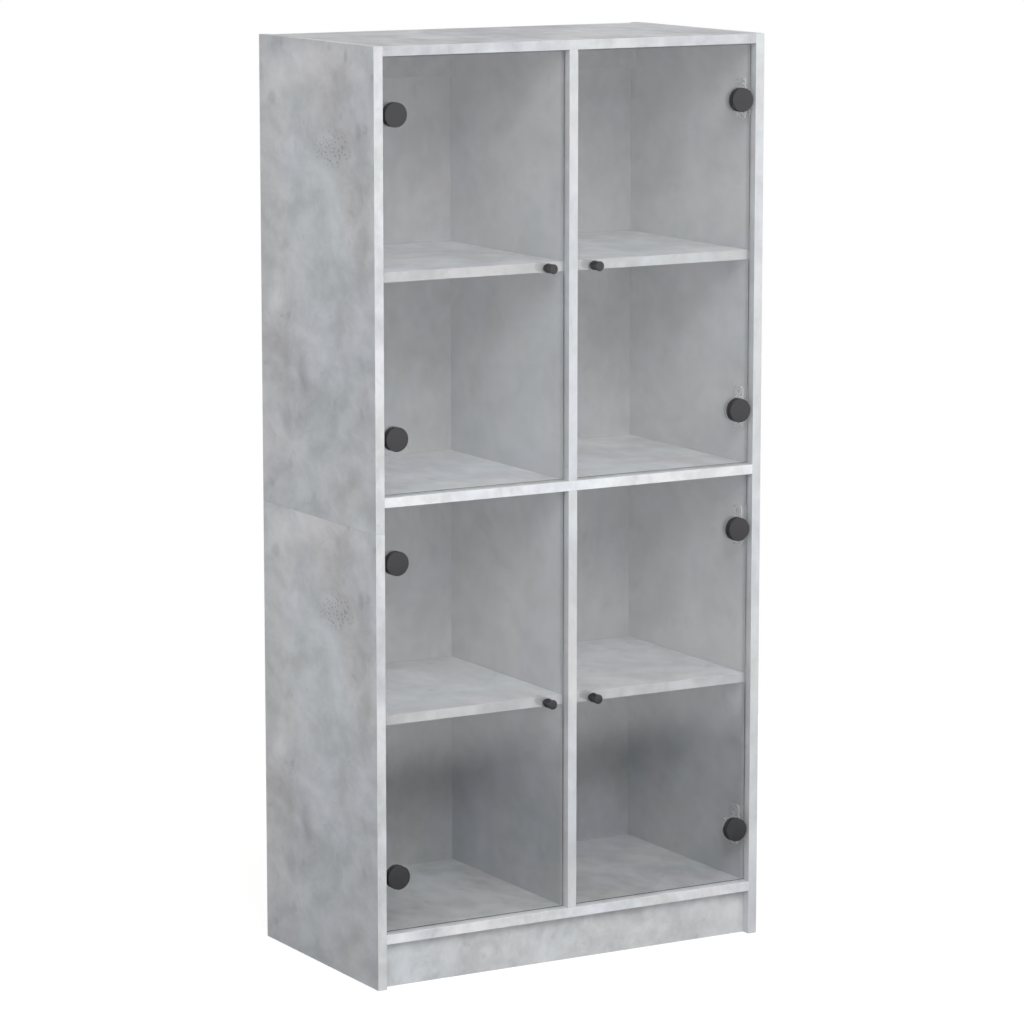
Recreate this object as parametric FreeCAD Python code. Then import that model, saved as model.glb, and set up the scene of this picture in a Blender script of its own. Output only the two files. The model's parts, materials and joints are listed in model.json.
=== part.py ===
import FreeCAD, Part
import math
import os

V = FreeCAD.Vector
ALONG_X = V(1, 0, 0)
ALONG_Y = V(0, 1, 0)
ALONG_Z = V(0, 0, 1)

# ---------------------------------------------------------------- carcass
CARCASS_WIDTH = 680.0
CARCASS_DEPTH = 370.0
CARCASS_HEIGHT = 1420.0
BOARD = 15.0
EDGE_ROUND = 0.5
TOP_SET_BACK = 15.0
PLINTH_HEIGHT = 70.0
PLINTH_RECESS = 15.0
SEAM_BELOW_MIDDLE_BOARD = 39.5
BACK_THICKNESS = 3.0
BACK_REBATE = 7.5
BACK_PLAY = 0.5
RAIL_HEIGHT = 58.0

# ---------------------------------------------------------------- shelves
SHELF_SET_BACK = 20.0
SHELF_REAR_PLAY = 1.0
SHELF_SIDE_PLAY = 0.5
SHELF_PIN_RADIUS = 2.5
SHELF_PIN_DEPTH = 6.5
SHELF_PIN_REACH = 8.0
SHELF_PIN_FROM_EDGE = 40.0

# ---------------------------------------------------------------- doors
GLASS = 4.0
GLASS_RECESS = 11.0
GLASS_BEVEL = 0.4
DOOR_GAP = 2.0
DOOR_OPENING = 95.0

# ---------------------------------------------------------------- knobs
KNOB_RADIUS = 7.5
KNOB_WAIST = 0.5
KNOB_LENGTH = 17.6
KNOB_END_ROUND = 1.2
KNOB_NECK_RADIUS = 5.0
KNOB_NECK_LENGTH = 3.4
KNOB_FROM_EDGE = 31.0
KNOB_WASHER = 0.4
KNOB_SCREW_RADIUS = 2.0
KNOB_SCREW_GRIP = 10.0
KNOB_SCREW_HEAD_RADIUS = 4.0
KNOB_SCREW_HEAD = 2.4

# ---------------------------------------------------------------- hinges
HINGE_FROM_DOOR_END = 84.0
CAP_RADIUS = 18.5
CAP_FROM_EDGE = 20.5
CAP_PROJECTION = 10.0
CAP_ROUND = 0.8
CAP_WALL = 1.2
CAP_PLAY = 0.3
BOWL_RADIUS = 17.0
BOWL_WALL = 1.1
BOWL_SIDE_WALL = 1.6
BOWL_SHOULDER = 2.5
FLANGE_THICKNESS = 1.5
GASKET = 0.4
GLASS_HOLE_PLAY = 0.5
PIVOT_FROM_CAP_AXIS = 11.5
PIVOT_PIN_RADIUS = 1.25
KNUCKLE_RADIUS = 2.3
ARM_PLAY = 0.4
ARM_HEIGHT = 12.4
ARM_NECK = 4.2
ARM_TAIL = 6.0
ARM_TAIL_END = 58.0
PLATE_WIDTH = 24.0
PLATE_FRONT = 30.0
PLATE_HEIGHT = 64.0
PLATE_THICKNESS = 2.0
PLATE_CORNER = 6.0
PLATE_RIB = 4.0
PLATE_SCREW_SPACING = 48.0
PLATE_SCREW_RADIUS = 2.9
PLATE_SCREW_HEAD_RADIUS = 4.6
PLATE_SCREW_DEPTH = 11.0
ARM_SCREW_RADIUS = 2.0
ARM_SCREW_HEAD_RADIUS = 3.8
ARM_SCREW_HEAD = 2.2
ARM_SCREW_SPACING = 11.0
ARM_SCREW_FROM_END = 6.0
CAP_SCREW_RADIUS = 1.45
CAP_SCREW_HEAD_RADIUS = 2.8
CAP_SCREW_LENGTH = 13.0
CAP_SCREW_SPACING = 24.0

# ---------------------------------------------------------------- joinery
BORE_PLAY = 0.05
END_PLAY = 0.3
DOWEL_RADIUS = 4.0
DOWEL_IN_FACE = 10.0
DOWEL_IN_EDGE = 20.0
DOWEL_FROM_CAM = 35.0
FITTING_FROM_EDGE = 50.0
CAM_RADIUS = 7.5
CAM_HEIGHT = 12.4
CAM_FROM_END = 34.0
CAM_BOLT_RADIUS = 3.0
CAM_BOLT_IN_PANEL = 11.0
CAM_BOLT_NECK_RADIUS = 2.0
CAM_BOLT_NECK = 4.0
CAM_BOLT_HEAD = 3.0
CAM_CHANNEL_RADIUS = 4.0
NAIL_RADIUS = 0.8
NAIL_HEAD_RADIUS = 1.8
NAIL_HEAD = 0.6
NAIL_LENGTH = 18.0
NAIL_SPACING = 130.0
SCREW_SLOT_WIDTH = 0.9
SCREW_SLOT_DEPTH = 1.0
RUNNING_PLAY = 0.05

# ---------------------------------------------------------------- derived sizes
SIDE_INNER = CARCASS_WIDTH / 2 - BOARD
DIVIDER_FACE = BOARD / 2
BAY_WIDTH = SIDE_INNER - DIVIDER_FACE
BACK_FACE = CARCASS_DEPTH - BACK_THICKNESS
TOP_UNDERSIDE = CARCASS_HEIGHT - BOARD
BOTTOM_TOP = PLINTH_HEIGHT + BOARD
MIDDLE_UNDERSIDE = (TOP_UNDERSIDE + BOTTOM_TOP - BOARD) / 2
MIDDLE_TOP = MIDDLE_UNDERSIDE + BOARD
SEAM_HEIGHT = MIDDLE_UNDERSIDE - SEAM_BELOW_MIDDLE_BOARD
BAY_HEIGHT = TOP_UNDERSIDE - MIDDLE_TOP
DOOR_HEIGHT = BAY_HEIGHT - 2 * DOOR_GAP
DOOR_WIDTH = BAY_WIDTH - 2 * DOOR_GAP
GLASS_REAR = GLASS_RECESS + GLASS
KNOB_FACE = GLASS_RECESS - KNOB_WASHER - KNOB_NECK_LENGTH - KNOB_LENGTH
FRONT_Y = -(CARCASS_DEPTH + KNOB_FACE) / 2

# Hinge positions: distance from the side panel, depth from the carcass front.
CAP_AXIS = DOOR_GAP + CAP_FROM_EDGE
CAP_FACE = GLASS_RECESS - CAP_PROJECTION
CAP_SEAT = GLASS_RECESS - GASKET
TROUGH_FRONT = CAP_FACE + CAP_WALL + CAP_PLAY
TROUGH_FLOOR = TROUGH_FRONT + BOWL_WALL
SHOULDER_FRONT = GLASS_RECESS - BOWL_SHOULDER
FLANGE_FRONT = GLASS_REAR + GASKET
BOWL_MOUTH = FLANGE_FRONT + FLANGE_THICKNESS
PIVOT_A = CAP_AXIS - PIVOT_FROM_CAP_AXIS
PIVOT_Y = TROUGH_FLOOR + ARM_PLAY + KNUCKLE_RADIUS
POCKET_HALF_LENGTH = PIVOT_FROM_CAP_AXIS + KNUCKLE_RADIUS + ARM_PLAY
POCKET_HALF_HEIGHT = ARM_HEIGHT / 2 + ARM_PLAY
TROUGH_HALF_HEIGHT = POCKET_HALF_HEIGHT + BOWL_SIDE_WALL
MOUTH_SWEEP = math.hypot(CAP_AXIS - CAP_RADIUS - PIVOT_A, BOWL_MOUTH - PIVOT_Y)
NECK_INNER = MOUTH_SWEEP + ARM_PLAY
NECK_OUTER = NECK_INNER + ARM_NECK
TAIL_BASE = PLATE_THICKNESS + PLATE_RIB
TAIL_TOP = TAIL_BASE + ARM_TAIL

pieces = {}
bores = []


def add(node, *shapes):
    """Put solids into the named piece."""
    pieces.setdefault(node, []).extend(shapes)


def box(x0, x1, y0, y1, z0, z1):
    return Part.makeBox(x1 - x0, y1 - y0, z1 - z0, V(x0, y0, z0))


def board(x0, x1, y0, y1, z0, z1):
    """Laminated board with lightly rounded edges."""
    blank = box(x0, x1, y0, y1, z0, z1)
    return blank.makeFillet(EDGE_ROUND, blank.Edges)


def rod(radius, start, direction, length):
    return Part.makeCylinder(radius, length, start, direction)


def cone(radius_start, radius_end, start, direction, length):
    return Part.makeCone(radius_start, radius_end, length, start, direction)


def mirrored(shape):
    """The same solid on the other side of the middle plane."""
    return shape.mirror(V(0, 0, 0), ALONG_X)


def moved(shape, x, y, z):
    copy = shape.copy()
    copy.translate(V(x, y, z))
    return copy


def both_sides(node, shape):
    add(node, shape, mirrored(shape))


def spread(first, last, spacing):
    """Even positions from first to last, no further apart than the spacing."""
    steps = max(1, math.ceil((last - first) / spacing))
    return [first + (last - first) * i / steps for i in range(steps + 1)]


# ---------------------------------------------------------------- fasteners of the carcass
def dowel(start, direction, back, forward):
    """Wooden dowel through the joint plane at start, with its blind bore."""
    foot = start - direction * back
    add("dowels", rod(DOWEL_RADIUS, foot, direction, back + forward))
    bore_foot = start - direction * (back + END_PLAY)
    bores.append(rod(DOWEL_RADIUS + BORE_PLAY, bore_foot, direction, back + forward + 2 * END_PLAY))


def cam_bolt(y, z):
    """Steel bolt in the left side panel that reaches into a board's cam."""
    shank = CAM_FROM_END - CAM_BOLT_NECK - CAM_BOLT_HEAD
    foot = V(-SIDE_INNER - CAM_BOLT_IN_PANEL, y, z)
    joint = V(-SIDE_INNER, y, z)
    neck = V(-SIDE_INNER + shank, y, z)
    head = V(-SIDE_INNER + shank + CAM_BOLT_NECK, y, z)
    bolt = rod(CAM_BOLT_RADIUS, foot, ALONG_X, CAM_BOLT_IN_PANEL + shank)
    bolt = bolt.fuse(rod(CAM_BOLT_NECK_RADIUS, neck, ALONG_X, CAM_BOLT_NECK))
    bolt = bolt.fuse(rod(CAM_BOLT_RADIUS, head, ALONG_X, CAM_BOLT_HEAD))
    both_sides("cam_bolts", bolt)
    bore_foot = V(-SIDE_INNER - CAM_BOLT_IN_PANEL - END_PLAY, y, z)
    in_panel = rod(CAM_BOLT_RADIUS + BORE_PLAY, bore_foot, ALONG_X, CAM_BOLT_IN_PANEL + END_PLAY)
    in_board = rod(CAM_CHANNEL_RADIUS, joint, ALONG_X, CAM_FROM_END)
    bores.extend([in_panel, mirrored(in_panel), in_board, mirrored(in_board)])


def cam_lock(y, z):
    """Cam in the underside of a board, z at the underside."""
    foot = V(-SIDE_INNER + CAM_FROM_END, y, z)
    cam = rod(CAM_RADIUS, foot, ALONG_Z, CAM_HEIGHT)
    channel_start = V(-SIDE_INNER, y, z + BOARD / 2)
    cam = cam.cut(rod(CAM_CHANNEL_RADIUS, channel_start, ALONG_X, CAM_FROM_END + CAM_BOLT_HEAD))
    slot_length = CAM_RADIUS
    slot = box(-slot_length / 2, slot_length / 2, -SCREW_SLOT_WIDTH, SCREW_SLOT_WIDTH, 0, SCREW_SLOT_DEPTH)
    cam = cam.cut(moved(slot, foot.x, foot.y, foot.z))
    both_sides("cam_locks", cam)
    bore = rod(CAM_RADIUS + BORE_PLAY, foot, ALONG_Z, CAM_HEIGHT + END_PLAY)
    bores.extend([bore, mirrored(bore)])


def board_end_joints(underside, depth):
    """Two cam fittings and two dowels at each end of a horizontal board."""
    middle = underside + BOARD / 2
    fittings = (FITTING_FROM_EDGE, depth - FITTING_FROM_EDGE)
    for y in fittings:
        cam_bolt(y, middle)
        cam_lock(y, underside)
    for y in (fittings[0] + DOWEL_FROM_CAM, fittings[1] - DOWEL_FROM_CAM):
        dowel(V(-SIDE_INNER, y, middle), ALONG_X, DOWEL_IN_FACE, DOWEL_IN_EDGE)
        dowel(V(SIDE_INNER, y, middle), -ALONG_X, DOWEL_IN_FACE, DOWEL_IN_EDGE)


def nail(x, z):
    """Back panel nail with its flat head flush in the panel's rear face."""
    head = rod(NAIL_HEAD_RADIUS, V(x, CARCASS_DEPTH, z), -ALONG_Y, NAIL_HEAD)
    shank = rod(NAIL_RADIUS, V(x, CARCASS_DEPTH, z), -ALONG_Y, NAIL_LENGTH)
    add("back_panel_nails", head.fuse(shank))
    head_bore = rod(NAIL_HEAD_RADIUS + BORE_PLAY, V(x, CARCASS_DEPTH, z), -ALONG_Y, NAIL_HEAD)
    bores.append(head_bore)
    bores.append(rod(NAIL_RADIUS + BORE_PLAY, V(x, CARCASS_DEPTH, z), -ALONG_Y, NAIL_LENGTH + END_PLAY))


# ---------------------------------------------------------------- boards
def side_panels():
    rebate = box(-SIDE_INNER - BACK_REBATE, -SIDE_INNER, BACK_FACE, CARCASS_DEPTH, 0, CARCASS_HEIGHT)
    outer = -CARCASS_WIDTH / 2
    lower = board(outer, -SIDE_INNER, 0, CARCASS_DEPTH, 0, SEAM_HEIGHT).cut(rebate)
    upper = board(outer, -SIDE_INNER, 0, CARCASS_DEPTH, SEAM_HEIGHT, CARCASS_HEIGHT).cut(rebate)
    add("side_left_lower", lower)
    add("side_left_upper", upper)
    add("side_right_lower", mirrored(lower))
    add("side_right_upper", mirrored(upper))
    for y in (FITTING_FROM_EDGE, CARCASS_DEPTH / 2, CARCASS_DEPTH - FITTING_FROM_EDGE):
        for x in (-SIDE_INNER - BOARD / 2, SIDE_INNER + BOARD / 2):
            dowel(V(x, y, SEAM_HEIGHT), ALONG_Z, DOWEL_IN_EDGE, DOWEL_IN_EDGE)


def horizontal_boards():
    top_depth = CARCASS_DEPTH - TOP_SET_BACK
    add("top_board", board(-SIDE_INNER, SIDE_INNER, 0, top_depth, TOP_UNDERSIDE, CARCASS_HEIGHT))
    add("middle_board", board(-SIDE_INNER, SIDE_INNER, 0, BACK_FACE, MIDDLE_UNDERSIDE, MIDDLE_TOP))
    add("bottom_board", board(-SIDE_INNER, SIDE_INNER, 0, BACK_FACE, PLINTH_HEIGHT, BOTTOM_TOP))
    board_end_joints(TOP_UNDERSIDE, top_depth)
    board_end_joints(MIDDLE_UNDERSIDE, BACK_FACE)
    board_end_joints(PLINTH_HEIGHT, BACK_FACE)


def plinth():
    front = PLINTH_RECESS
    rear = PLINTH_RECESS + BOARD
    add("plinth_board", board(-SIDE_INNER, SIDE_INNER, front, rear, 0, PLINTH_HEIGHT))
    middle = (front + rear) / 2
    for z in (PLINTH_HEIGHT / 4, PLINTH_HEIGHT * 5 / 8):
        dowel(V(-SIDE_INNER, middle, z), ALONG_X, DOWEL_IN_FACE, DOWEL_IN_EDGE)
        dowel(V(SIDE_INNER, middle, z), -ALONG_X, DOWEL_IN_FACE, DOWEL_IN_EDGE)
    for x in (-SIDE_INNER / 2, SIDE_INNER / 2):
        dowel(V(x, middle, PLINTH_HEIGHT), -ALONG_Z, DOWEL_IN_FACE, DOWEL_IN_EDGE)


def dividers():
    add("divider_upper", board(-DIVIDER_FACE, DIVIDER_FACE, 0, BACK_FACE, MIDDLE_TOP, TOP_UNDERSIDE))
    add("divider_lower", board(-DIVIDER_FACE, DIVIDER_FACE, 0, BACK_FACE, BOTTOM_TOP, MIDDLE_UNDERSIDE))
    for y in (FITTING_FROM_EDGE, CARCASS_DEPTH - TOP_SET_BACK - FITTING_FROM_EDGE):
        dowel(V(0, y, TOP_UNDERSIDE), -ALONG_Z, DOWEL_IN_FACE, DOWEL_IN_EDGE)
        dowel(V(0, y, MIDDLE_UNDERSIDE), ALONG_Z, DOWEL_IN_EDGE, BOARD + DOWEL_IN_EDGE)
        dowel(V(0, y, BOTTOM_TOP), ALONG_Z, DOWEL_IN_FACE, DOWEL_IN_EDGE)


def rear_rails():
    """Rails under the top board that close the bays behind its rear edge."""
    front = BACK_FACE - BOARD
    underside = TOP_UNDERSIDE - RAIL_HEIGHT
    both_sides("rear_rails", board(-SIDE_INNER, -DIVIDER_FACE, front, BACK_FACE, underside, TOP_UNDERSIDE))
    middle = BACK_FACE - BOARD / 2
    for z in (underside + RAIL_HEIGHT / 4, TOP_UNDERSIDE - RAIL_HEIGHT / 4):
        dowel(V(-SIDE_INNER, middle, z), ALONG_X, DOWEL_IN_FACE, DOWEL_IN_EDGE)
        dowel(V(SIDE_INNER, middle, z), -ALONG_X, DOWEL_IN_FACE, DOWEL_IN_EDGE)
        dowel(V(-DIVIDER_FACE, middle, z), -ALONG_X, BOARD + DOWEL_IN_EDGE, DOWEL_IN_EDGE)


def back_panels():
    half = SIDE_INNER + BACK_REBATE - BACK_PLAY
    split = (MIDDLE_UNDERSIDE + MIDDLE_TOP) / 2
    add("back_panel_upper", box(-half, half, BACK_FACE, CARCASS_DEPTH, split + BACK_PLAY / 2, TOP_UNDERSIDE))
    add("back_panel_lower", box(-half, half, BACK_FACE, CARCASS_DEPTH, PLINTH_HEIGHT, split - BACK_PLAY / 2))
    edge_x = SIDE_INNER + (BACK_REBATE - BACK_PLAY) / 2
    from_split = BOARD / 4
    lower_rows = spread(PLINTH_HEIGHT + BOARD / 2, split - from_split, NAIL_SPACING)
    upper_rows = spread(split + from_split, TOP_UNDERSIDE - BOARD / 2, NAIL_SPACING)
    for z in lower_rows + upper_rows:
        for x in (-edge_x, 0, edge_x):
            nail(x, z)
    for z in (lower_rows[0], lower_rows[-1], upper_rows[0], upper_rows[-1]):
        for x in (-SIDE_INNER * 2 / 3, -SIDE_INNER / 3, SIDE_INNER / 3, SIDE_INNER * 2 / 3):
            nail(x, z)


# ---------------------------------------------------------------- shelves
def shelf_pin(y, z):
    """Pin in the left side panel, its flat tongue under a shelf; y along the depth, z at the top."""
    body = rod(SHELF_PIN_RADIUS, V(-SHELF_PIN_DEPTH, y, z - SHELF_PIN_RADIUS), ALONG_X, SHELF_PIN_DEPTH)
    half = SHELF_PIN_RADIUS
    tongue = box(0, SHELF_PIN_REACH, y - half, y + half, z - 2 * half, z)
    return body.fuse(tongue)


def shelf(name, side, height):
    """Shelf of one bay on four pins, height at its underside."""
    left = -SIDE_INNER + SHELF_SIDE_PLAY
    right = -DIVIDER_FACE - SHELF_SIDE_PLAY
    rear = BACK_FACE - SHELF_REAR_PLAY
    plain = board(left, right, SHELF_SET_BACK, rear, height, height + BOARD)
    add(name, plain if side == "left" else mirrored(plain))
    for y in (SHELF_SET_BACK + SHELF_PIN_FROM_EDGE, rear - SHELF_PIN_FROM_EDGE):
        at_side = moved(shelf_pin(y, height), -SIDE_INNER, 0, 0)
        at_divider = moved(mirrored(shelf_pin(y, height)), -DIVIDER_FACE, 0, 0)
        hole_length = SHELF_PIN_DEPTH + END_PLAY
        hole_z = height - SHELF_PIN_RADIUS
        radius = SHELF_PIN_RADIUS + BORE_PLAY
        side_hole = rod(radius, V(-SIDE_INNER, y, hole_z), -ALONG_X, hole_length)
        divider_hole = rod(radius, V(-DIVIDER_FACE, y, hole_z), ALONG_X, hole_length)
        for pin, hole in ((at_side, side_hole), (at_divider, divider_hole)):
            add("shelf_pins", pin if side == "left" else mirrored(pin))
            bores.append(hole if side == "left" else mirrored(hole))


# ---------------------------------------------------------------- hinge, beside the left panel
def cap_screw_heights():
    return (-CAP_SCREW_SPACING / 2, CAP_SCREW_SPACING / 2)


def slot_across(start, direction, length):
    """Driver slot of a screw whose head top is at start, cut along its direction."""
    half = SCREW_SLOT_WIDTH / 2
    depth = SCREW_SLOT_DEPTH
    if direction == ALONG_X:
        return box(start.x, start.x + depth, start.y - half, start.y + half,
                   start.z - length, start.z + length)
    return box(start.x - half, start.x + half, start.y - depth, start.y,
               start.z - length, start.z + length)


def hinge_cap():
    """Round cover on the front of the glass with a well for the hinge bowl."""
    cover = rod(CAP_RADIUS, V(CAP_AXIS, CAP_FACE, 0), ALONG_Y, CAP_SEAT - CAP_FACE)
    rim = [edge for edge in cover.Edges if edge.BoundBox.YMax < CAP_FACE + CAP_ROUND]
    cover = cover.makeFillet(CAP_ROUND, rim)
    inside = BOWL_RADIUS + CAP_PLAY
    well_floor = TROUGH_FRONT - CAP_PLAY
    shoulder_floor = SHOULDER_FRONT - CAP_PLAY
    round_well = rod(inside, V(CAP_AXIS, well_floor, 0), ALONG_Y, CAP_SEAT - well_floor)
    half = TROUGH_HALF_HEIGHT + CAP_PLAY
    trough_well = box(0, 2 * CAP_AXIS, well_floor, CAP_SEAT, -half, half).common(round_well)
    shoulder_well = rod(inside, V(CAP_AXIS, shoulder_floor, 0), ALONG_Y, CAP_SEAT - shoulder_floor)
    cover = cover.cut(trough_well).cut(shoulder_well)
    tip = BOWL_MOUTH - CAP_SCREW_LENGTH
    for z in cap_screw_heights():
        hole = rod(CAP_SCREW_RADIUS + BORE_PLAY, V(CAP_AXIS, tip - END_PLAY, z), ALONG_Y, CAP_SEAT)
        cover = cover.cut(hole)
    return cover


def cap_screw(z):
    """Countersunk screw from the bowl flange into the cap."""
    head_top = V(CAP_AXIS, BOWL_MOUTH, z)
    head_depth = CAP_SCREW_HEAD_RADIUS - CAP_SCREW_RADIUS
    shank = rod(CAP_SCREW_RADIUS, head_top, -ALONG_Y, CAP_SCREW_LENGTH)
    head = cone(CAP_SCREW_HEAD_RADIUS, CAP_SCREW_RADIUS, head_top, -ALONG_Y, head_depth)
    screw = shank.fuse(head)
    return screw.cut(slot_across(head_top, ALONG_Y, CAP_SCREW_HEAD_RADIUS))


def hinge_bowl():
    """Metal bowl through the glass: flange, shoulder and the trough for the arm."""
    flange = rod(CAP_RADIUS, V(CAP_AXIS, FLANGE_FRONT, 0), ALONG_Y, FLANGE_THICKNESS)
    shoulder = rod(BOWL_RADIUS, V(CAP_AXIS, SHOULDER_FRONT, 0), ALONG_Y, FLANGE_FRONT - SHOULDER_FRONT)
    full = rod(BOWL_RADIUS, V(CAP_AXIS, TROUGH_FRONT, 0), ALONG_Y, FLANGE_FRONT - TROUGH_FRONT)
    half = TROUGH_HALF_HEIGHT
    trough = box(0, 2 * CAP_AXIS, TROUGH_FRONT, FLANGE_FRONT, -half, half).common(full)
    bowl = trough.fuse(shoulder).fuse(flange)
    near = CAP_AXIS - POCKET_HALF_LENGTH
    far = CAP_AXIS + POCKET_HALF_LENGTH
    bowl = bowl.cut(box(near, far, TROUGH_FLOOR, BOWL_MOUTH, -POCKET_HALF_HEIGHT, POCKET_HALF_HEIGHT))
    head_depth = CAP_SCREW_HEAD_RADIUS - CAP_SCREW_RADIUS
    for z in cap_screw_heights():
        top = V(CAP_AXIS, BOWL_MOUTH, z)
        bowl = bowl.cut(rod(CAP_SCREW_RADIUS + CAP_PLAY, top, -ALONG_Y, BOWL_MOUTH))
        seat_radius = CAP_SCREW_HEAD_RADIUS + BORE_PLAY
        bowl = bowl.cut(cone(seat_radius, CAP_SCREW_RADIUS + BORE_PLAY, top, -ALONG_Y, head_depth))
    pin_bore = rod(PIVOT_PIN_RADIUS + BORE_PLAY, V(PIVOT_A, PIVOT_Y, -half), ALONG_Z, 2 * half)
    return bowl.cut(pin_bore)


def pivot_pin():
    half = TROUGH_HALF_HEIGHT - END_PLAY
    return rod(PIVOT_PIN_RADIUS, V(PIVOT_A, PIVOT_Y, -half), ALONG_Z, 2 * half)


def glass_gaskets():
    """Sleeve with a rear collar in the glass hole, and the washer under the cap."""
    inner = BOWL_RADIUS + BORE_PLAY
    outer = CAP_RADIUS - CAP_PLAY
    sleeve = rod(BOWL_RADIUS + GLASS_HOLE_PLAY - BORE_PLAY, V(CAP_AXIS, GLASS_RECESS, 0), ALONG_Y, GLASS)
    collar = rod(outer, V(CAP_AXIS, GLASS_REAR, 0), ALONG_Y, GASKET)
    washer = rod(outer, V(CAP_AXIS, CAP_SEAT, 0), ALONG_Y, GASKET)
    hollow = rod(inner, V(CAP_AXIS, 0, 0), ALONG_Y, BOWL_MOUTH)
    return [sleeve.fuse(collar).cut(hollow), washer.cut(hollow)]


def hinge_arm():
    """Arm from the mounting plate around the bowl's lip to the pivot pin."""
    half = ARM_HEIGHT / 2
    pivot = V(PIVOT_A, PIVOT_Y, -half)
    knuckle = rod(KNUCKLE_RADIUS, pivot, ALONG_Z, ARM_HEIGHT)
    lean = math.radians(180 - DOOR_OPENING)
    middle = (NECK_INNER + NECK_OUTER) / 2
    upper_start = V(KNUCKLE_RADIUS * math.cos(lean), KNUCKLE_RADIUS * math.sin(lean), 0)
    upper_end = V(middle, (KNUCKLE_RADIUS - middle * math.cos(lean)) / math.sin(lean), 0)
    corners = [V(0, -KNUCKLE_RADIUS, 0), V(middle, -KNUCKLE_RADIUS, 0), upper_end, upper_start]
    outline = Part.makePolygon([pivot + corner for corner in corners + corners[:1]])
    bar = Part.Face(outline).extrude(V(0, 0, ARM_HEIGHT))
    ring = rod(NECK_OUTER, pivot, ALONG_Z, ARM_HEIGHT).cut(rod(NECK_INNER, pivot, ALONG_Z, ARM_HEIGHT))
    reach = PIVOT_A + NECK_OUTER
    quarter = box(TAIL_BASE, reach, PIVOT_Y - KNUCKLE_RADIUS, PIVOT_Y + NECK_OUTER, -half, half)
    tail_front = PIVOT_Y + NECK_INNER + ARM_PLAY
    tail = box(TAIL_BASE, TAIL_TOP, tail_front, ARM_TAIL_END, -half, half)
    arm = knuckle.fuse(bar).fuse(ring.common(quarter)).fuse(tail).removeSplitter()
    arm = arm.cut(rod(PIVOT_PIN_RADIUS + RUNNING_PLAY, pivot, ALONG_Z, ARM_HEIGHT))
    for y in arm_screw_depths():
        arm = arm.cut(rod(ARM_SCREW_RADIUS + BORE_PLAY, V(0, y, 0), ALONG_X, TAIL_TOP))
    return arm


def arm_screw_depths():
    last = ARM_TAIL_END - ARM_SCREW_FROM_END
    return (last - ARM_SCREW_SPACING, last)


def arm_screw(y):
    tip = V(PLATE_THICKNESS, y, 0)
    top = V(TAIL_TOP + ARM_SCREW_HEAD, y, 0)
    shank = rod(ARM_SCREW_RADIUS, tip, ALONG_X, TAIL_TOP - PLATE_THICKNESS)
    head = rod(ARM_SCREW_HEAD_RADIUS, V(TAIL_TOP, y, 0), ALONG_X, ARM_SCREW_HEAD)
    slot = slot_across(V(top.x - SCREW_SLOT_DEPTH, y, 0), ALONG_X, ARM_SCREW_HEAD_RADIUS)
    return shank.fuse(head).cut(slot)


def plate_middle():
    return PLATE_FRONT + PLATE_WIDTH / 2


def plate_screw_heights():
    return (-PLATE_SCREW_SPACING / 2, PLATE_SCREW_SPACING / 2)


def mounting_plate():
    """Cross-shaped plate: wings flat on the panel and the rib that carries the arm."""
    half = PLATE_HEIGHT / 2
    wings = box(0, PLATE_THICKNESS, PLATE_FRONT, PLATE_FRONT + PLATE_WIDTH, -half, half)
    corners = [edge for edge in wings.Edges if edge.BoundBox.XLength > PLATE_THICKNESS / 2]
    corners = [edge for edge in corners if edge.BoundBox.YLength + edge.BoundBox.ZLength < 1e-3]
    wings = wings.makeFillet(PLATE_CORNER, corners)
    rib_half = ARM_HEIGHT / 2
    rib_end = ARM_TAIL_END + PLATE_THICKNESS
    rib = box(0, TAIL_BASE, PLATE_FRONT - PLATE_THICKNESS, rib_end, -rib_half, rib_half)
    plate = wings.fuse(rib).removeSplitter()
    for y in arm_screw_depths():
        plate = plate.cut(rod(ARM_SCREW_RADIUS + BORE_PLAY, V(PLATE_THICKNESS, y, 0), ALONG_X, PLATE_RIB))
    for z in plate_screw_heights():
        top = V(PLATE_THICKNESS, plate_middle(), z)
        seat = cone(PLATE_SCREW_HEAD_RADIUS + BORE_PLAY, PLATE_SCREW_RADIUS + BORE_PLAY, top, -ALONG_X,
                    PLATE_THICKNESS)
        plate = plate.cut(seat)
    return plate


def plate_screw(z):
    """Countersunk screw through a wing into the side panel."""
    top = V(PLATE_THICKNESS, plate_middle(), z)
    head = cone(PLATE_SCREW_HEAD_RADIUS, PLATE_SCREW_RADIUS, top, -ALONG_X, PLATE_THICKNESS)
    shank = rod(PLATE_SCREW_RADIUS, top, -ALONG_X, PLATE_THICKNESS + PLATE_SCREW_DEPTH)
    slot = slot_across(V(top.x - SCREW_SLOT_DEPTH, top.y, top.z), ALONG_X, PLATE_SCREW_HEAD_RADIUS)
    return head.fuse(shank).cut(slot)


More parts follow.
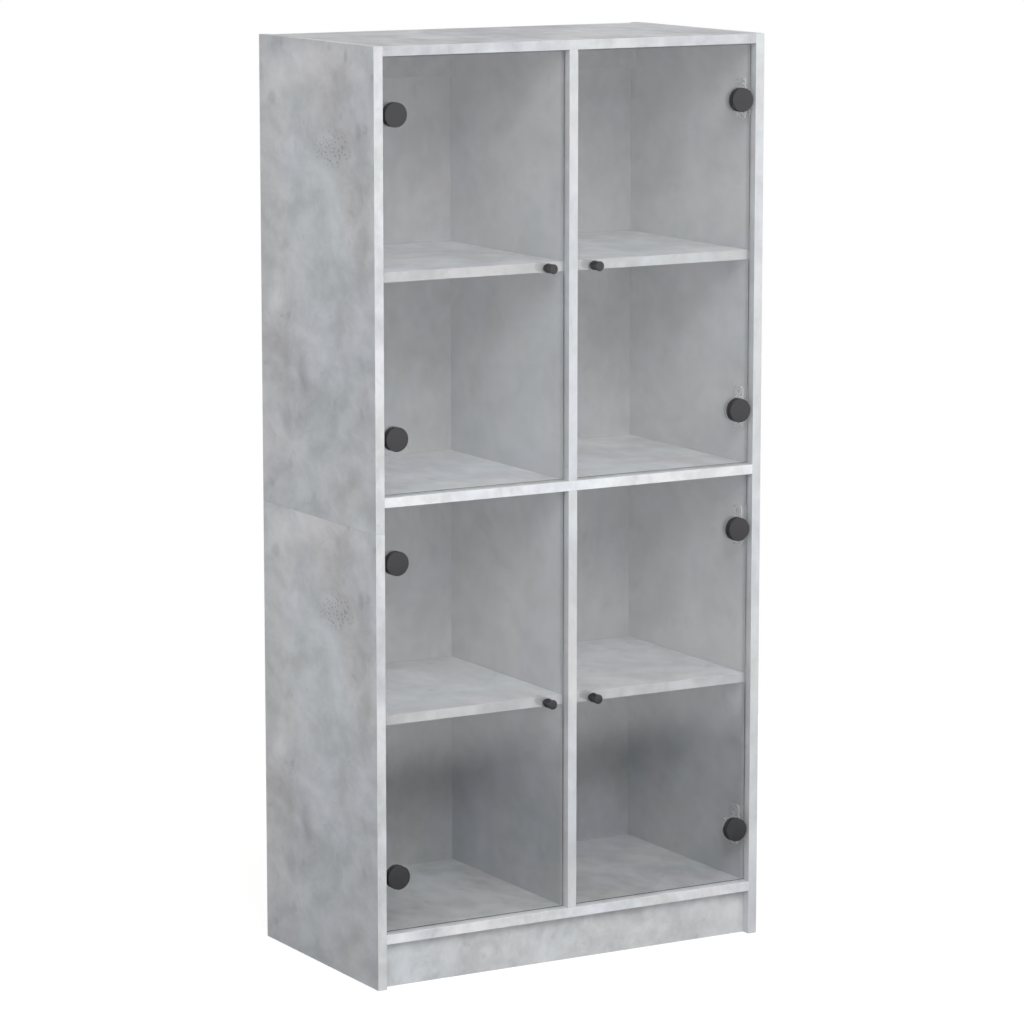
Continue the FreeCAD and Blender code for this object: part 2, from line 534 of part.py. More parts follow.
# ---------------------------------------------------------------- doors, drawn on the left side
def knob():
    """Turned knob with a slight waist on a thinner neck, axis on the origin."""
    rear = KNOB_FACE + KNOB_LENGTH
    seat = rear + KNOB_NECK_LENGTH
    rounded = KNOB_END_ROUND
    diagonal = rounded * (1 - math.sqrt(0.5))
    front_arc = Part.Arc(V(KNOB_RADIUS - rounded, KNOB_FACE, 0),
                         V(KNOB_RADIUS - diagonal, KNOB_FACE + diagonal, 0),
                         V(KNOB_RADIUS, KNOB_FACE + rounded, 0)).toShape()
    rear_arc = Part.Arc(V(KNOB_RADIUS, rear - rounded, 0),
                        V(KNOB_RADIUS - diagonal, rear - diagonal, 0),
                        V(KNOB_RADIUS - rounded, rear, 0)).toShape()
    waist = Part.Arc(V(KNOB_RADIUS, KNOB_FACE + rounded, 0),
                     V(KNOB_RADIUS - KNOB_WAIST, (KNOB_FACE + rear) / 2, 0),
                     V(KNOB_RADIUS, rear - rounded, 0)).toShape()
    closing = [V(KNOB_RADIUS - rounded, rear, 0), V(KNOB_NECK_RADIUS, rear, 0),
               V(KNOB_NECK_RADIUS, seat, 0), V(0, seat, 0), V(0, KNOB_FACE, 0),
               V(KNOB_RADIUS - rounded, KNOB_FACE, 0)]
    lines = [Part.makeLine(a, b) for a, b in zip(closing, closing[1:])]
    profile = Part.Face(Part.Wire([front_arc, waist, rear_arc] + lines))
    body = profile.revolve(V(0, 0, 0), ALONG_Y, 360)
    tip = GLASS_RECESS - KNOB_SCREW_GRIP - KNOB_WASHER - END_PLAY
    return body.cut(rod(KNOB_SCREW_RADIUS + BORE_PLAY, V(0, tip, 0), ALONG_Y, seat - tip))


def knob_screw():
    seat = GLASS_REAR + KNOB_WASHER
    tip = GLASS_RECESS - KNOB_SCREW_GRIP - KNOB_WASHER
    shank = rod(KNOB_SCREW_RADIUS, V(0, tip, 0), ALONG_Y, seat - tip)
    head = rod(KNOB_SCREW_HEAD_RADIUS, V(0, seat, 0), ALONG_Y, KNOB_SCREW_HEAD)
    top = V(0, seat + KNOB_SCREW_HEAD, 0)
    return shank.fuse(head).cut(slot_across(top, ALONG_Y, KNOB_SCREW_HEAD_RADIUS))


def knob_washers():
    inner = KNOB_SCREW_RADIUS + RUNNING_PLAY
    washers = []
    for depth in (GLASS_RECESS - KNOB_WASHER, GLASS_REAR):
        disc = rod(KNOB_NECK_RADIUS, V(0, depth, 0), ALONG_Y, KNOB_WASHER)
        washers.append(disc.cut(rod(inner, V(0, depth, 0), ALONG_Y, KNOB_WASHER)))
    return washers


def glass_pane(foot, hinge_heights, knob_x, knob_z):
    left = -SIDE_INNER + DOOR_GAP
    pane = box(left, left + DOOR_WIDTH, GLASS_RECESS, GLASS_REAR, foot, foot + DOOR_HEIGHT)
    pane = pane.makeChamfer(GLASS_BEVEL, pane.Edges)
    for z in hinge_heights:
        centre = V(-SIDE_INNER + CAP_AXIS, GLASS_RECESS, z)
        pane = pane.cut(rod(BOWL_RADIUS + GLASS_HOLE_PLAY, centre, ALONG_Y, GLASS))
    knob_hole = KNOB_SCREW_RADIUS + GLASS_HOLE_PLAY
    return pane.cut(rod(knob_hole, V(knob_x, GLASS_RECESS, knob_z), ALONG_Y, GLASS))


def door(level, side, foot):
    """One glass door with its knob, hinge bowls and caps, and the arms on the carcass."""
    def put(node, shape, at=V(0, 0, 0)):
        placed = moved(shape, at.x, at.y, at.z)
        add(node, placed if side == "left" else mirrored(placed))

    name = f"{level}_{side}"
    knob_x = -SIDE_INNER + DOOR_GAP + DOOR_WIDTH - KNOB_FROM_EDGE
    knob_z = foot + DOOR_HEIGHT / 2
    heights = (foot + HINGE_FROM_DOOR_END, foot + DOOR_HEIGHT - HINGE_FROM_DOOR_END)
    put(f"glass_door_{name}", glass_pane(foot, heights, knob_x, knob_z))
    knob_at = V(knob_x, 0, knob_z)
    put(f"knob_{name}", knob(), knob_at)
    put(f"knob_screw_{name}", knob_screw(), knob_at)
    for washer in knob_washers():
        put(f"gaskets_{name}", washer, knob_at)
    for height in heights:
        at = V(-SIDE_INNER, 0, height)
        put(f"hinge_caps_{name}", hinge_cap(), at)
        put(f"hinge_bowls_{name}", hinge_bowl(), at)
        put(f"hinge_pins_{name}", pivot_pin(), at)
        for z in cap_screw_heights():
            put(f"hinge_cap_screws_{name}", cap_screw(z), at)
        for gasket in glass_gaskets():
            put(f"gaskets_{name}", gasket, at)
        put("hinge_arms", hinge_arm(), at)
        put("hinge_mounting_plates", mounting_plate(), at)
        for y in arm_screw_depths():
            put("hinge_arm_screws", arm_screw(y), at)
        for z in plate_screw_heights():
            put("hinge_plate_screws", plate_screw(z), at)
            hole_start = V(-SIDE_INNER, plate_middle(), height + z)
            hole = rod(PLATE_SCREW_RADIUS + BORE_PLAY, hole_start, -ALONG_X, PLATE_SCREW_DEPTH + END_PLAY)
            bores.append(hole if side == "left" else mirrored(hole))


def drill_boards():
    """Cut every bore into the boards that it reaches."""
    boards = ("side_", "top_board", "middle_board", "bottom_board", "plinth_board", "divider_",
              "back_panel_u", "back_panel_l", "rear_rails")
    for node, shapes in pieces.items():
        if not node.startswith(boards):
            continue
        for i, shape in enumerate(shapes):
            reached = [bore for bore in bores if bore.BoundBox.intersect(shape.BoundBox)]
            shapes[i] = shape.cut(reached) if reached else shape


def export():
    os.makedirs("parts", exist_ok=True)
    for node, shapes in pieces.items():
        shape = shapes[0] if len(shapes) == 1 else Part.makeCompound(shapes)
        shape.translate(V(0, FRONT_Y, 0))
        shape.exportStep(f"parts/{node}.step")


side_panels()
horizontal_boards()
plinth()
dividers()
rear_rails()
back_panels()
for bay_level, bay_foot in (("upper", MIDDLE_TOP), ("lower", BOTTOM_TOP)):
    for bay_side in ("left", "right"):
        shelf(f"shelf_{bay_level}_{bay_side}", bay_side, bay_foot + (BAY_HEIGHT - BOARD) / 2)
        door(bay_level, bay_side, bay_foot + DOOR_GAP)
drill_boards()
export()
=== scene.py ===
"""Bookcase of concrete-grey boards with four hinged glass doors: finishes, fittings, light and camera."""

from __future__ import annotations

import json
import logging
import math
from dataclasses import dataclass, fields, replace
from enum import Enum
from typing import Iterable, Sequence, Union

import bmesh
import bpy
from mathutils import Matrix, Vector

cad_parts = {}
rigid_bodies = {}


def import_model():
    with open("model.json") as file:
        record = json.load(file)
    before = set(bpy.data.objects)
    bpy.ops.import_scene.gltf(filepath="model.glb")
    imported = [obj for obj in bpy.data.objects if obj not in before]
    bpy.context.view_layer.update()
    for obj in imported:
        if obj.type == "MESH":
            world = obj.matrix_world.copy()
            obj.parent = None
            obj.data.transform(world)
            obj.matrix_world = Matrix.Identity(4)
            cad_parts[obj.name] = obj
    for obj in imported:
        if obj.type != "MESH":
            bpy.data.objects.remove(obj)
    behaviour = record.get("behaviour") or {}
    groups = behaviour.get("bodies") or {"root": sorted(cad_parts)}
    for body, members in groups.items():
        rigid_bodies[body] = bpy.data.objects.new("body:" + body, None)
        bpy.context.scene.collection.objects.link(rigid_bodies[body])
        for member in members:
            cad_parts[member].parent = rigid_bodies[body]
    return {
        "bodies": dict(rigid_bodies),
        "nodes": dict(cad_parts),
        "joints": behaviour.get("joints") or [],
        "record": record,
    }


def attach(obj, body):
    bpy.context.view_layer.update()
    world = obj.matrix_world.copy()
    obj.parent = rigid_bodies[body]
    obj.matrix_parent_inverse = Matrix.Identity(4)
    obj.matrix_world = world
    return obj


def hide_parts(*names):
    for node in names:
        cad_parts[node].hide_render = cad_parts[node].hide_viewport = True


LOG = logging.getLogger("bookcase")

Point = tuple[float, float, float]
Colour = tuple[float, float, float]
Span = tuple[float, float]
Socket = bpy.types.NodeSocket
Material = bpy.types.Material
Value = Union[Socket, float, tuple]

ORIGIN: Point = (0.0, 0.0, 0.0)
UNSTRETCHED: Point = (1.0, 1.0, 1.0)
REARWARD: Point = (0.0, 1.0, 0.0)
WHITE: Colour = (1.0, 1.0, 1.0)
# What a noise texture's value is on average, and the depth below which a ray hasn't bounced.
NOISE_MIDDLE = 0.5
NO_BOUNCE = 0.5
MERGE_DISTANCE = 1e-6
FLAT_ANGLE = math.radians(0.5)
BEVEL_ANGLE = math.radians(40)
BEVEL_SEGMENTS = 2
SMOOTH_ANGLE = math.radians(35)


class Grain(Enum):
    """Way in which a board's decor runs; the value is the turn that lays it along the texture's Z axis."""

    UPRIGHT = (0.0, 0.0, 0.0)
    ACROSS = (0.0, math.pi / 2, 0.0)


class Side(Enum):
    """Side of the bookcase; the value is the sign of X there."""

    LEFT = -1
    RIGHT = 1


class Level(Enum):
    """Row of doors; the value is the height of their middle, in metres."""

    UPPER = 1.07875
    LOWER = 0.41125


class Slot(Enum):
    """Names of material slots for the pieces that stand for CAD nodes; nothing here gives them to a piece."""

    HINGE_METAL = "hinge_metal"
    FASTENER_STEEL = "fastener_steel"
    BLACK_FITTINGS = "black_fittings"


@dataclass(frozen=True)
class Carcass:
    """Sizes of the carcass, in metres in the row frame, that the dressing follows."""

    half_width: float = 0.340
    board: float = 0.015
    front: float = -0.1798
    rear: float = 0.1902
    hinge_reach: float = 0.24025

    @property
    def side_inner(self) -> float:
        """Distance from the middle plane to a side panel's inner face."""
        return self.half_width - self.board

    def hinge_heights(self, level: Level) -> tuple[float, float]:
        """Heights of the middles of a door's lower and upper hinge."""
        return level.value - self.hinge_reach, level.value + self.hinge_reach


CARCASS = Carcass()


# ---- node tools
class NodeBuilder:
    """Adds and links the nodes of one tree."""

    def __init__(self, tree: bpy.types.NodeTree) -> None:
        """Works on that tree."""
        self.tree = tree

    def node(self, kind: str, inputs: dict | None = None, **settings) -> bpy.types.Node:
        """Adds a node.

        Args:
            kind: Blender's node type.
            inputs: input name or number to a value or to the socket that feeds it.
            **settings: the node's own properties.

        Returns:
            The new node.
        """
        made = self.tree.nodes.new(kind)
        for key, value in settings.items():
            setattr(made, key, value)
        for key, value in (inputs or {}).items():
            if isinstance(value, Socket):
                self.tree.links.new(value, made.inputs[key])
            else:
                made.inputs[key].default_value = value
        return made

    def math(self, operation: str, a: Value, b: Value = 0.0, c: Value = 0.0, clamp: bool = False) -> Socket:
        """Result of one Math node on up to three values."""
        inputs = {0: a, 1: b, 2: c}
        return self.node("ShaderNodeMath", inputs, operation=operation, use_clamp=clamp).outputs[0]


class ShaderTree(NodeBuilder):
    """Adds and links the nodes of one material or world."""

    def __init__(self, owner: Material | bpy.types.World) -> None:
        """Starts a tree afresh with an output.

        Args:
            owner: the material or world whose tree it is.
        """
        owner.use_nodes = True
        super().__init__(owner.node_tree)
        self.owner = owner
        self.tree.nodes.clear()
        kind = "World" if isinstance(owner, bpy.types.World) else "Material"
        self.output = self.node(f"ShaderNodeOutput{kind}")

    @classmethod
    def of_material(cls, name: str) -> ShaderTree:
        """Tree of a new material."""
        return cls(bpy.data.materials.new(name))

    def scale_range(self, value: Value, span: Span, result: Span = (0.0, 1.0), smooth: bool = True) -> Socket:
        """Maps a value from one range to another, clamped at both ends.

        Args:
            value: the socket to map.
            span: the values that become the two results.
            result: the results at the span's two ends.
            smooth: eases both ends.

        Returns:
            The mapped value.
        """
        kind = "SMOOTHSTEP" if smooth else "LINEAR"
        inputs = {0: value, 1: span[0], 2: span[1], 3: result[0], 4: result[1]}
        return self.node("ShaderNodeMapRange", inputs, interpolation_type=kind).outputs[0]

    def mapped(self, vector: Value, location: Point = ORIGIN, turn: Point = ORIGIN,
               stretch: Point = UNSTRETCHED) -> Socket:
        """Vector moved, turned and stretched."""
        inputs = {"Vector": vector, "Location": location, "Rotation": turn, "Scale": stretch}
        return self.node("ShaderNodeMapping", inputs).outputs[0]

    def mix_colours(self, factor: Value, a: Value, b: Value, blend: str = "MIX") -> Socket:
        """Colour between a and b, or b blended over a."""
        made = self.node("ShaderNodeMix", {0: factor, 6: a, 7: b}, data_type="RGBA", blend_type=blend)
        return made.outputs[2]

    def stained(self, colour: Value, stain: Value) -> Socket:
        """Colour multiplied by another."""
        return self.mix_colours(1.0, colour, stain, "MULTIPLY")

    def shifted(self, vector: Socket, push: Socket, reach: float) -> Socket:
        """Vector plus a push of that reach."""
        far = self.node("ShaderNodeVectorMath", {0: push, "Scale": reach}, operation="SCALE").outputs[0]
        return self.node("ShaderNodeVectorMath", {0: vector, 1: far}, operation="ADD").outputs[0]

    def tint(self, value: Value) -> Socket:
        """Grey colour of that value."""
        return self.node("ShaderNodeCombineColor", {0: value, 1: value, 2: value}).outputs[0]

    def object_coordinates(self) -> tuple[Socket, Socket]:
        """Object coordinates and the object-space normal."""
        made = self.node("ShaderNodeTexCoord")
        return made.outputs["Object"], made.outputs["Normal"]

    def axis(self, vector: Socket, index: int) -> Socket:
        """One component of a vector."""
        return self.node("ShaderNodeSeparateXYZ", {0: vector}).outputs[index]

    def emission(self, strength: Value) -> Socket:
        """White light of that strength."""
        return self.node("ShaderNodeEmission", {"Color": rgba(WHITE), "Strength": strength}).outputs[0]

    def matt(self, tone: float) -> Socket:
        """Matt grey of that linear tone."""
        return self.node("ShaderNodeBsdfDiffuse", {"Color": rgba((tone, tone, tone))}).outputs[0]

    def choice(self, factor: Socket, a: Socket, b: Socket) -> Socket:
        """Shader a where the factor is 0, shader b where it is 1."""
        return self.node("ShaderNodeMixShader", {0: factor, 1: a, 2: b}).outputs[0]

    def principled(self, colour: Value, roughness: Value, more: dict | None = None) -> Socket:
        """General surface shader with that colour, roughness and further inputs."""
        inputs = {"Base Color": colour, "Roughness": roughness, **(more or {})}
        return self.node("ShaderNodeBsdfPrincipled", inputs).outputs[0]

    def surface(self, shader: Socket) -> Material | bpy.types.World:
        """Ends the tree in a shader and returns its material or world."""
        self.tree.links.new(shader, self.output.inputs["Surface"])
        return self.owner


@dataclass(frozen=True)
class Layer:
    """One layer of noise: its place, its coarseness, and the range that its middle span becomes."""

    scale: float
    detail: float = 2.0
    roughness: float = 0.5
    distortion: float = 0.0
    at: Point = ORIGIN
    stretch: Point = UNSTRETCHED
    span: Span | None = None
    result: Span = (0.0, 1.0)

    def texture(self, tree: ShaderTree, vector: Socket) -> bpy.types.Node:
        """Adds the layer's texture.

        Args:
            tree: the tree that it goes into.
            vector: coordinates before the layer moves and stretches them.

        Returns:
            The texture node: value first, colour second.
        """
        if (self.at, self.stretch) != (ORIGIN, UNSTRETCHED):
            vector = tree.mapped(vector, self.at, stretch=self.stretch)
        return tree.node("ShaderNodeTexNoise", {
            "Vector": vector, "Scale": self.scale, "Detail": self.detail, "Roughness": self.roughness,
            "Distortion": self.distortion})

    def value(self, tree: ShaderTree, vector: Socket) -> Socket:
        """Value of the layer, from 0 to 1 or over its own range."""
        raw = self.texture(tree, vector).outputs[0]
        return tree.scale_range(raw, self.span, self.result) if self.span else raw


@dataclass(frozen=True)
class Relief:
    """Strength and distance, in metres, of a bump."""

    strength: float
    distance: float

    def normal(self, tree: ShaderTree, height: Socket) -> dict[str, Socket]:
        """Shader input that gives a surface this relief."""
        inputs = {"Height": height, "Strength": self.strength, "Distance": self.distance}
        return {"Normal": tree.node("ShaderNodeBump", inputs).outputs[0]}


def rgba(colour: Colour) -> tuple[float, float, float, float]:
    """Opaque RGBA of a linear colour."""
    return (*colour, 1.0)


def grey(tone: float) -> Colour:
    """Linear grey of an 8-bit display tone.

    Args:
        tone: the tone, from 0 to 255.

    Returns:
        The colour.
    """
    value = tone / 255
    linear = value / 12.92 if value <= 0.04045 else ((value + 0.055) / 1.055) ** 2.4
    return (linear, linear, linear)


# ---- finishes
@dataclass(frozen=True)
class Mark:
    """Soft blot of the decor: lighter with a positive gain, darker with a negative one.

    Depth counts from the carcass front and height from the panel's lower end; half_depth and half_height are
    the ellipse's radii, and fade says how far out, in radii, the blot starts and stops thinning.
    """

    depth: float
    height: float
    half_depth: float
    half_height: float
    gain: float
    lean: float = 0.0
    half_through: float = 10.0
    fade: Span = (0.35, 1.25)

    def mask(self, tree: ShaderTree, place: Socket, foot: float) -> Socket:
        """Soft ellipse of the mark.

        Args:
            tree: the material's tree.
            place: warped object coordinates.
            foot: height from which the mark's own height counts.

        Returns:
            Socket that is 1 in the middle of the mark and 0 outside.
        """
        local = tree.node("ShaderNodeMapping", {
            "Vector": place, "Location": (0.0, CARCASS.front + self.depth, foot + self.height),
            "Rotation": (self.lean, 0.0, 0.0),
            "Scale": (self.half_through, self.half_depth, self.half_height)}, vector_type="TEXTURE")
        apart = tree.node("ShaderNodeVectorMath", {0: local.outputs[0]}, operation="LENGTH").outputs[1]
        return tree.scale_range(apart, self.fade, (1.0, 0.0))


@dataclass(frozen=True)
class Pits:
    """Small dark pits of the decor, thin everywhere and dense in the pitted patches."""

    cells: float = 200.0
    stretch: Point = (1.0, 1.4, 1.0)
    ragged: Layer = Layer(300.0, 3.0, 0.6)
    raggedness: float = 0.7
    rim: Span = (0.58, 0.78)
    clusters: Layer = Layer(6.0, 4.0, 0.6, span=(0.66, 0.76), result=(0.0, 0.5))

    def mask(self, tree: ShaderTree, decor: Socket, patches: Iterable[Socket]) -> Socket:
        """Socket that is 1 inside a pit.

        Args:
            tree: the material's tree.
            decor: the decor's coordinates.
            patches: masks of the pitted patches.

        Returns:
            The pits' mask.
        """
        cells = tree.node("ShaderNodeTexVoronoi", {
            "Vector": tree.mapped(decor, stretch=self.stretch), "Scale": self.cells})
        edge = tree.math("MULTIPLY", self.ragged.value(tree, decor), self.raggedness)
        near = tree.math("ADD", cells.outputs["Distance"], edge)
        cluster = self.clusters.value(tree, decor)
        for patch in patches:
            cluster = tree.math("MAXIMUM", cluster, patch)
        return tree.math("MULTIPLY", tree.scale_range(near, self.rim, (1.0, 0.0)), cluster)


@dataclass(frozen=True)
class ConcreteLaminate:
    """Printed concrete decor on particle board: clouds, trowel strokes, faint tints, blots and pits."""

    name: str
    grain: Grain = Grain.UPRIGHT
    offset: Point = ORIGIN
    tone: float = 207.0
    band_gain: float = 0.85
    calm: float = 1.0
    marks: tuple[Mark, ...] = ()
    pitted: tuple[Mark, ...] = ()
    marks_from: float = 0.0
    face_stretch: Point = (1.0, 0.62, 1.0)
    band_shift: Point = (3.1, 1.7, 0.0)
    band_stretch: Point = (1.6, 1.6, 1.3)
    band_facing: Span = (0.80, 0.95)
    swirl: Layer = Layer(11.0)
    swirl_reach: float = 0.050
    clouds: Layer = Layer(9.0, 5.0, 0.58, stretch=(1.0, 1.0, 0.9), span=(0.34, 0.66), result=(-0.5, 0.5))
    cloud_depth: float = 0.18
    mottle: Layer = Layer(25.0, 5.0, 0.64, at=(5.0, 2.0, 1.0), stretch=(1.0, 1.0, 0.9), span=(0.32, 0.68),
                          result=(-0.5, 0.5))
    mottle_depth: float = 0.17
    strokes: Layer = Layer(46.0, 5.0, 0.62, at=(3.0, 8.0, 2.0), stretch=(1.0, 1.0, 0.15))
    drawn: Layer = Layer(6.0, at=(2.0, 1.0, 6.0), span=(0.48, 0.60), result=(0.10, 1.0))
    stroke_depth: float = 0.15
    blots: Layer = Layer(34.0, 5.0, 0.66, at=(1.0, 7.0, 4.0), stretch=(1.0, 1.0, 0.8), span=(0.40, 0.29),
                         result=(0.0, -1.0))
    blot_depth: float = 0.11
    speck: Layer = Layer(520.0)
    speck_depth: float = 0.08
    pits: Pits = Pits()
    pit_depth: float = 0.30
    warm: Layer = Layer(8.0, at=(2.0, 4.0, 8.0), stretch=(1.0, 1.0, 0.5), span=(0.38, 0.62))
    blue_to_brown: tuple[Colour, Colour] = ((0.964, 0.994, 1.042), (0.992, 1.0, 1.014))
    violet: Layer = Layer(10.0, at=(9.0, 3.0, 6.0), stretch=(1.0, 1.0, 0.5), span=(0.38, 0.62))
    green_to_violet: tuple[Colour, Colour] = ((0.990, 1.006, 1.000), (1.004, 0.994, 1.010))
    gloss_span: Span = (0.8, 1.2)
    roughness: Span = (0.59, 0.47)
    specular: float = 0.25
    cloud_relief: float = 0.3
    relief: Relief = Relief(0.25, 0.0004)

    def shade(self, tree: ShaderTree, decor: Socket, place: Socket) -> tuple[Socket, Socket]:
        """Lightness of the decor about 1, and its pits.

        Args:
            tree: the material's tree.
            decor: the decor's coordinates.
            place: warped object coordinates.

        Returns:
            The lightness and the pits.
        """
        strokes = tree.math("SUBTRACT", self.strokes.value(tree, decor), NOISE_MIDDLE)
        drawn = tree.math("MULTIPLY", strokes, self.drawn.value(tree, decor))
        speck = tree.math("SUBTRACT", self.speck.value(tree, decor), NOISE_MIDDLE)
        pits = self.pits.mask(tree, decor, [patch.mask(tree, place, self.marks_from) for patch in self.pitted])
        parts = [(self.mottle.value(tree, decor), self.mottle_depth), (drawn, self.stroke_depth),
                 (self.blots.value(tree, decor), self.blot_depth), (speck, self.speck_depth),
                 (pits, -self.pit_depth)]
        parts += [(mark.mask(tree, place, self.marks_from), mark.gain) for mark in self.marks]
        light = tree.math("MULTIPLY_ADD", self.clouds.value(tree, decor), self.cloud_depth * self.calm, 1.0)
        for part, weight in parts:
            light = tree.math("ADD", light, tree.math("MULTIPLY", part, weight * self.calm))
        return light, pits

    def cast(self, tree: ShaderTree, decor: Socket) -> Socket:
        """Faint drift between blue, brown, violet and green."""
        first, second = (
            tree.mix_colours(layer.value(tree, decor), rgba(ends[0]), rgba(ends[1]))
            for layer, ends in ((self.warm, self.blue_to_brown), (self.violet, self.green_to_violet)))
        return tree.stained(first, second)

    def coat(self, tree: ShaderTree) -> tuple[Socket, Socket, dict]:
        """Lays the decor out in a tree.

        Args:
            tree: the material's tree.

        Returns:
            Its colour, its roughness and its further shader inputs.
        """
        place, normal = tree.object_coordinates()
        face = tree.mapped(place, self.offset, self.grain.value, self.face_stretch)
        along = tuple(a + b for a, b in zip(self.offset, self.band_shift))
        band = tree.mapped(place, along, self.grain.value, self.band_stretch)
        on_edge = tree.scale_range(tree.math("MULTIPLY", tree.axis(normal, 1), -1.0), self.band_facing)
        flat = tree.node("ShaderNodeMix", {0: on_edge, 4: face, 5: band}, data_type="VECTOR").outputs[1]
        swirl = self.swirl.texture(tree, flat).outputs[1]
        centred = {0: swirl, 1: (NOISE_MIDDLE,) * 3}
        push = tree.node("ShaderNodeVectorMath", centred, operation="SUBTRACT").outputs[0]
        decor = tree.shifted(flat, push, self.swirl_reach)
        light, pits = self.shade(tree, decor, tree.shifted(place, push, self.swirl_reach))
        light = tree.math("MULTIPLY", light, tree.scale_range(on_edge, (0.0, 1.0), (1.0, self.band_gain)))
        tinted = tree.stained(rgba(grey(self.tone)), self.cast(tree, decor))
        height = tree.math("SUBTRACT", tree.math("MULTIPLY", light, self.cloud_relief), pits)
        more = {"Specular IOR Level": self.specular, **self.relief.normal(tree, height)}
        gloss = tree.scale_range(light, self.gloss_span, self.roughness)
        return tree.stained(tinted, tree.tint(light)), gloss, more

    def make(self) -> Material:
        """Builds the material."""
        tree = ShaderTree.of_material(self.name)
        return tree.surface(tree.principled(*self.coat(tree)))


@dataclass(frozen=True)
class BackBoard:
    """Thin fibre board: concrete decor inside, pale fibre on the rear face."""

    decor: ConcreteLaminate
    fibre: Colour = (0.36, 0.31, 0.25)
    facing: Span = (0.6, 0.9)
    rear_face: Span = (CARCASS.rear - 0.0014, CARCASS.rear - 0.0004)
    hair: Layer = Layer(700.0, 5.0, 0.7, 1.5, stretch=(0.35, 1.0, 1.0), span=(0.25, 0.75), result=(0.82, 1.14))
    blots: Layer = Layer(18.0, 4.0, 0.6, span=(0.3, 0.7), result=(-0.06, 0.06))

    def make(self) -> Material:
        """Builds the laminate with the bare rear face over it.

        Returns:
            The material.
        """
        tree = ShaderTree.of_material(self.decor.name)
        front, roughness, more = self.decor.coat(tree)
        place, normal = tree.object_coordinates()
        rear = tree.scale_range(tree.axis(normal, 1), self.facing)
        deep = tree.scale_range(tree.axis(place, 1), self.rear_face)
        depth = tree.math("ADD", self.hair.value(tree, place), self.blots.value(tree, place))
        fibre = tree.stained(rgba(self.fibre), tree.tint(depth))
        colour = tree.mix_colours(tree.math("MULTIPLY", rear, deep), front, fibre)
        return tree.surface(tree.principled(colour, roughness, more))


@dataclass(frozen=True)
class ClearGlass:
    """Clear toughened pane whose ground edges look dark."""

    name: str = "clear_glass"
    tint: Colour = (0.952, 0.951, 0.949)
    edge: Colour = (0.10, 0.125, 0.13)
    edge_facing: Span = (0.5, 0.95)
    film: Layer = Layer(9.0, 3.0, 0.5, 0.3, span=(0.3, 0.7), result=(0.985, 1.0))
    lamp_tint: Colour = (0.95, 0.95, 0.945)
    roughness: float = 0.02
    ior: float = 1.6

    def make(self) -> Material:
        """Builds the material; lamps shine through the pane.

        Returns:
            The glass material.
        """
        tree = ShaderTree.of_material(self.name)
        place, normal = tree.object_coordinates()
        rim = tree.scale_range(tree.math("ABSOLUTE", tree.axis(normal, 1)), self.edge_facing, (1.0, 0.0))
        pane = tree.stained(rgba(self.tint), tree.tint(self.film.value(tree, place)))
        colour = tree.mix_colours(rim, pane, rgba(self.edge))
        clear = tree.principled(colour, self.roughness, {"IOR": self.ior, "Transmission Weight": 1.0})
        open_way = tree.node("ShaderNodeBsdfTransparent", {"Color": rgba(self.lamp_tint)}).outputs[0]
        shadow = tree.node("ShaderNodeLightPath").outputs["Is Shadow Ray"]
        return tree.surface(tree.choice(shadow, clear, open_way))


@dataclass(frozen=True)
class FineFinish:
    """Finish that drifts between two colours under a fine relief: a coat, plated metal, plastic or wood."""

    name: str
    colour: Colour
    drifted: Colour
    drift: Layer
    grain: Layer
    relief: Relief
    roughness: Span
    grain_gloss: Span | None = None
    metallic: float = 0.0
    flecks: Layer | None = None

    def make(self) -> Material:
        """Builds the material, whose roughness follows the grain where grain_gloss is given, else the drift.

        Returns:
            The material.
        """
        tree = ShaderTree.of_material(self.name)
        place, _ = tree.object_coordinates()
        drift, grain = self.drift.value(tree, place), self.grain.value(tree, place)
        if self.flecks:
            drift = tree.math("ADD", drift, self.flecks.value(tree, place), clamp=True)
        colour = tree.mix_colours(drift, rgba(self.colour), rgba(self.drifted))
        guide, span = (grain, self.grain_gloss) if self.grain_gloss else (drift, (0.0, 1.0))
        more = {"Metallic": self.metallic, **self.relief.normal(tree, grain)}
        return tree.surface(tree.principled(colour, tree.scale_range(guide, span, self.roughness), more))


FIBRE = Layer(900.0, 4.0, 0.6, stretch=(0.25, 1.0, 1.0))
MOTTLE = Layer(700.0, 3.0, 0.6, span=(0.3, 0.7))
NICKEL_PLATE = FineFinish(
    "nickel_plate", (0.96, 0.96, 0.97), (0.88, 0.88, 0.89), drift=Layer(120.0, 4.0, 0.55, span=(0.35, 0.7)),
    grain=Layer(900.0, 3.0, 0.6, stretch=(1.0, 0.2, 1.0)), relief=Relief(0.12, 0.00005),
    roughness=(0.15, 0.32), grain_gloss=(0.3, 0.7), metallic=0.65)
ZINC_STEEL = replace(NICKEL_PLATE, name="zinc_steel", colour=(0.86, 0.86, 0.87), drifted=(0.72, 0.72, 0.74),
                     roughness=(0.29, 0.46))
BLACK_COAT = FineFinish(
    "black_coat", (0.026, 0.026, 0.029), (0.033, 0.033, 0.036), drift=Layer(160.0, 4.0, 0.6, span=(0.35, 0.7)),
    grain=Layer(1400.0, 3.0, 0.6), relief=Relief(0.25, 0.00008), roughness=(0.46, 0.60))
KNOB_COAT = replace(BLACK_COAT, name="black_knob_coat", roughness=(0.32, 0.46))
GASKET_PLASTIC = FineFinish(
    "gasket_plastic", (0.136, 0.136, 0.14025), (0.1792, 0.1792, 0.1848), drift=MOTTLE, grain=MOTTLE,
    relief=Relief(0.15, 0.0000135), roughness=(0.68, 0.68))
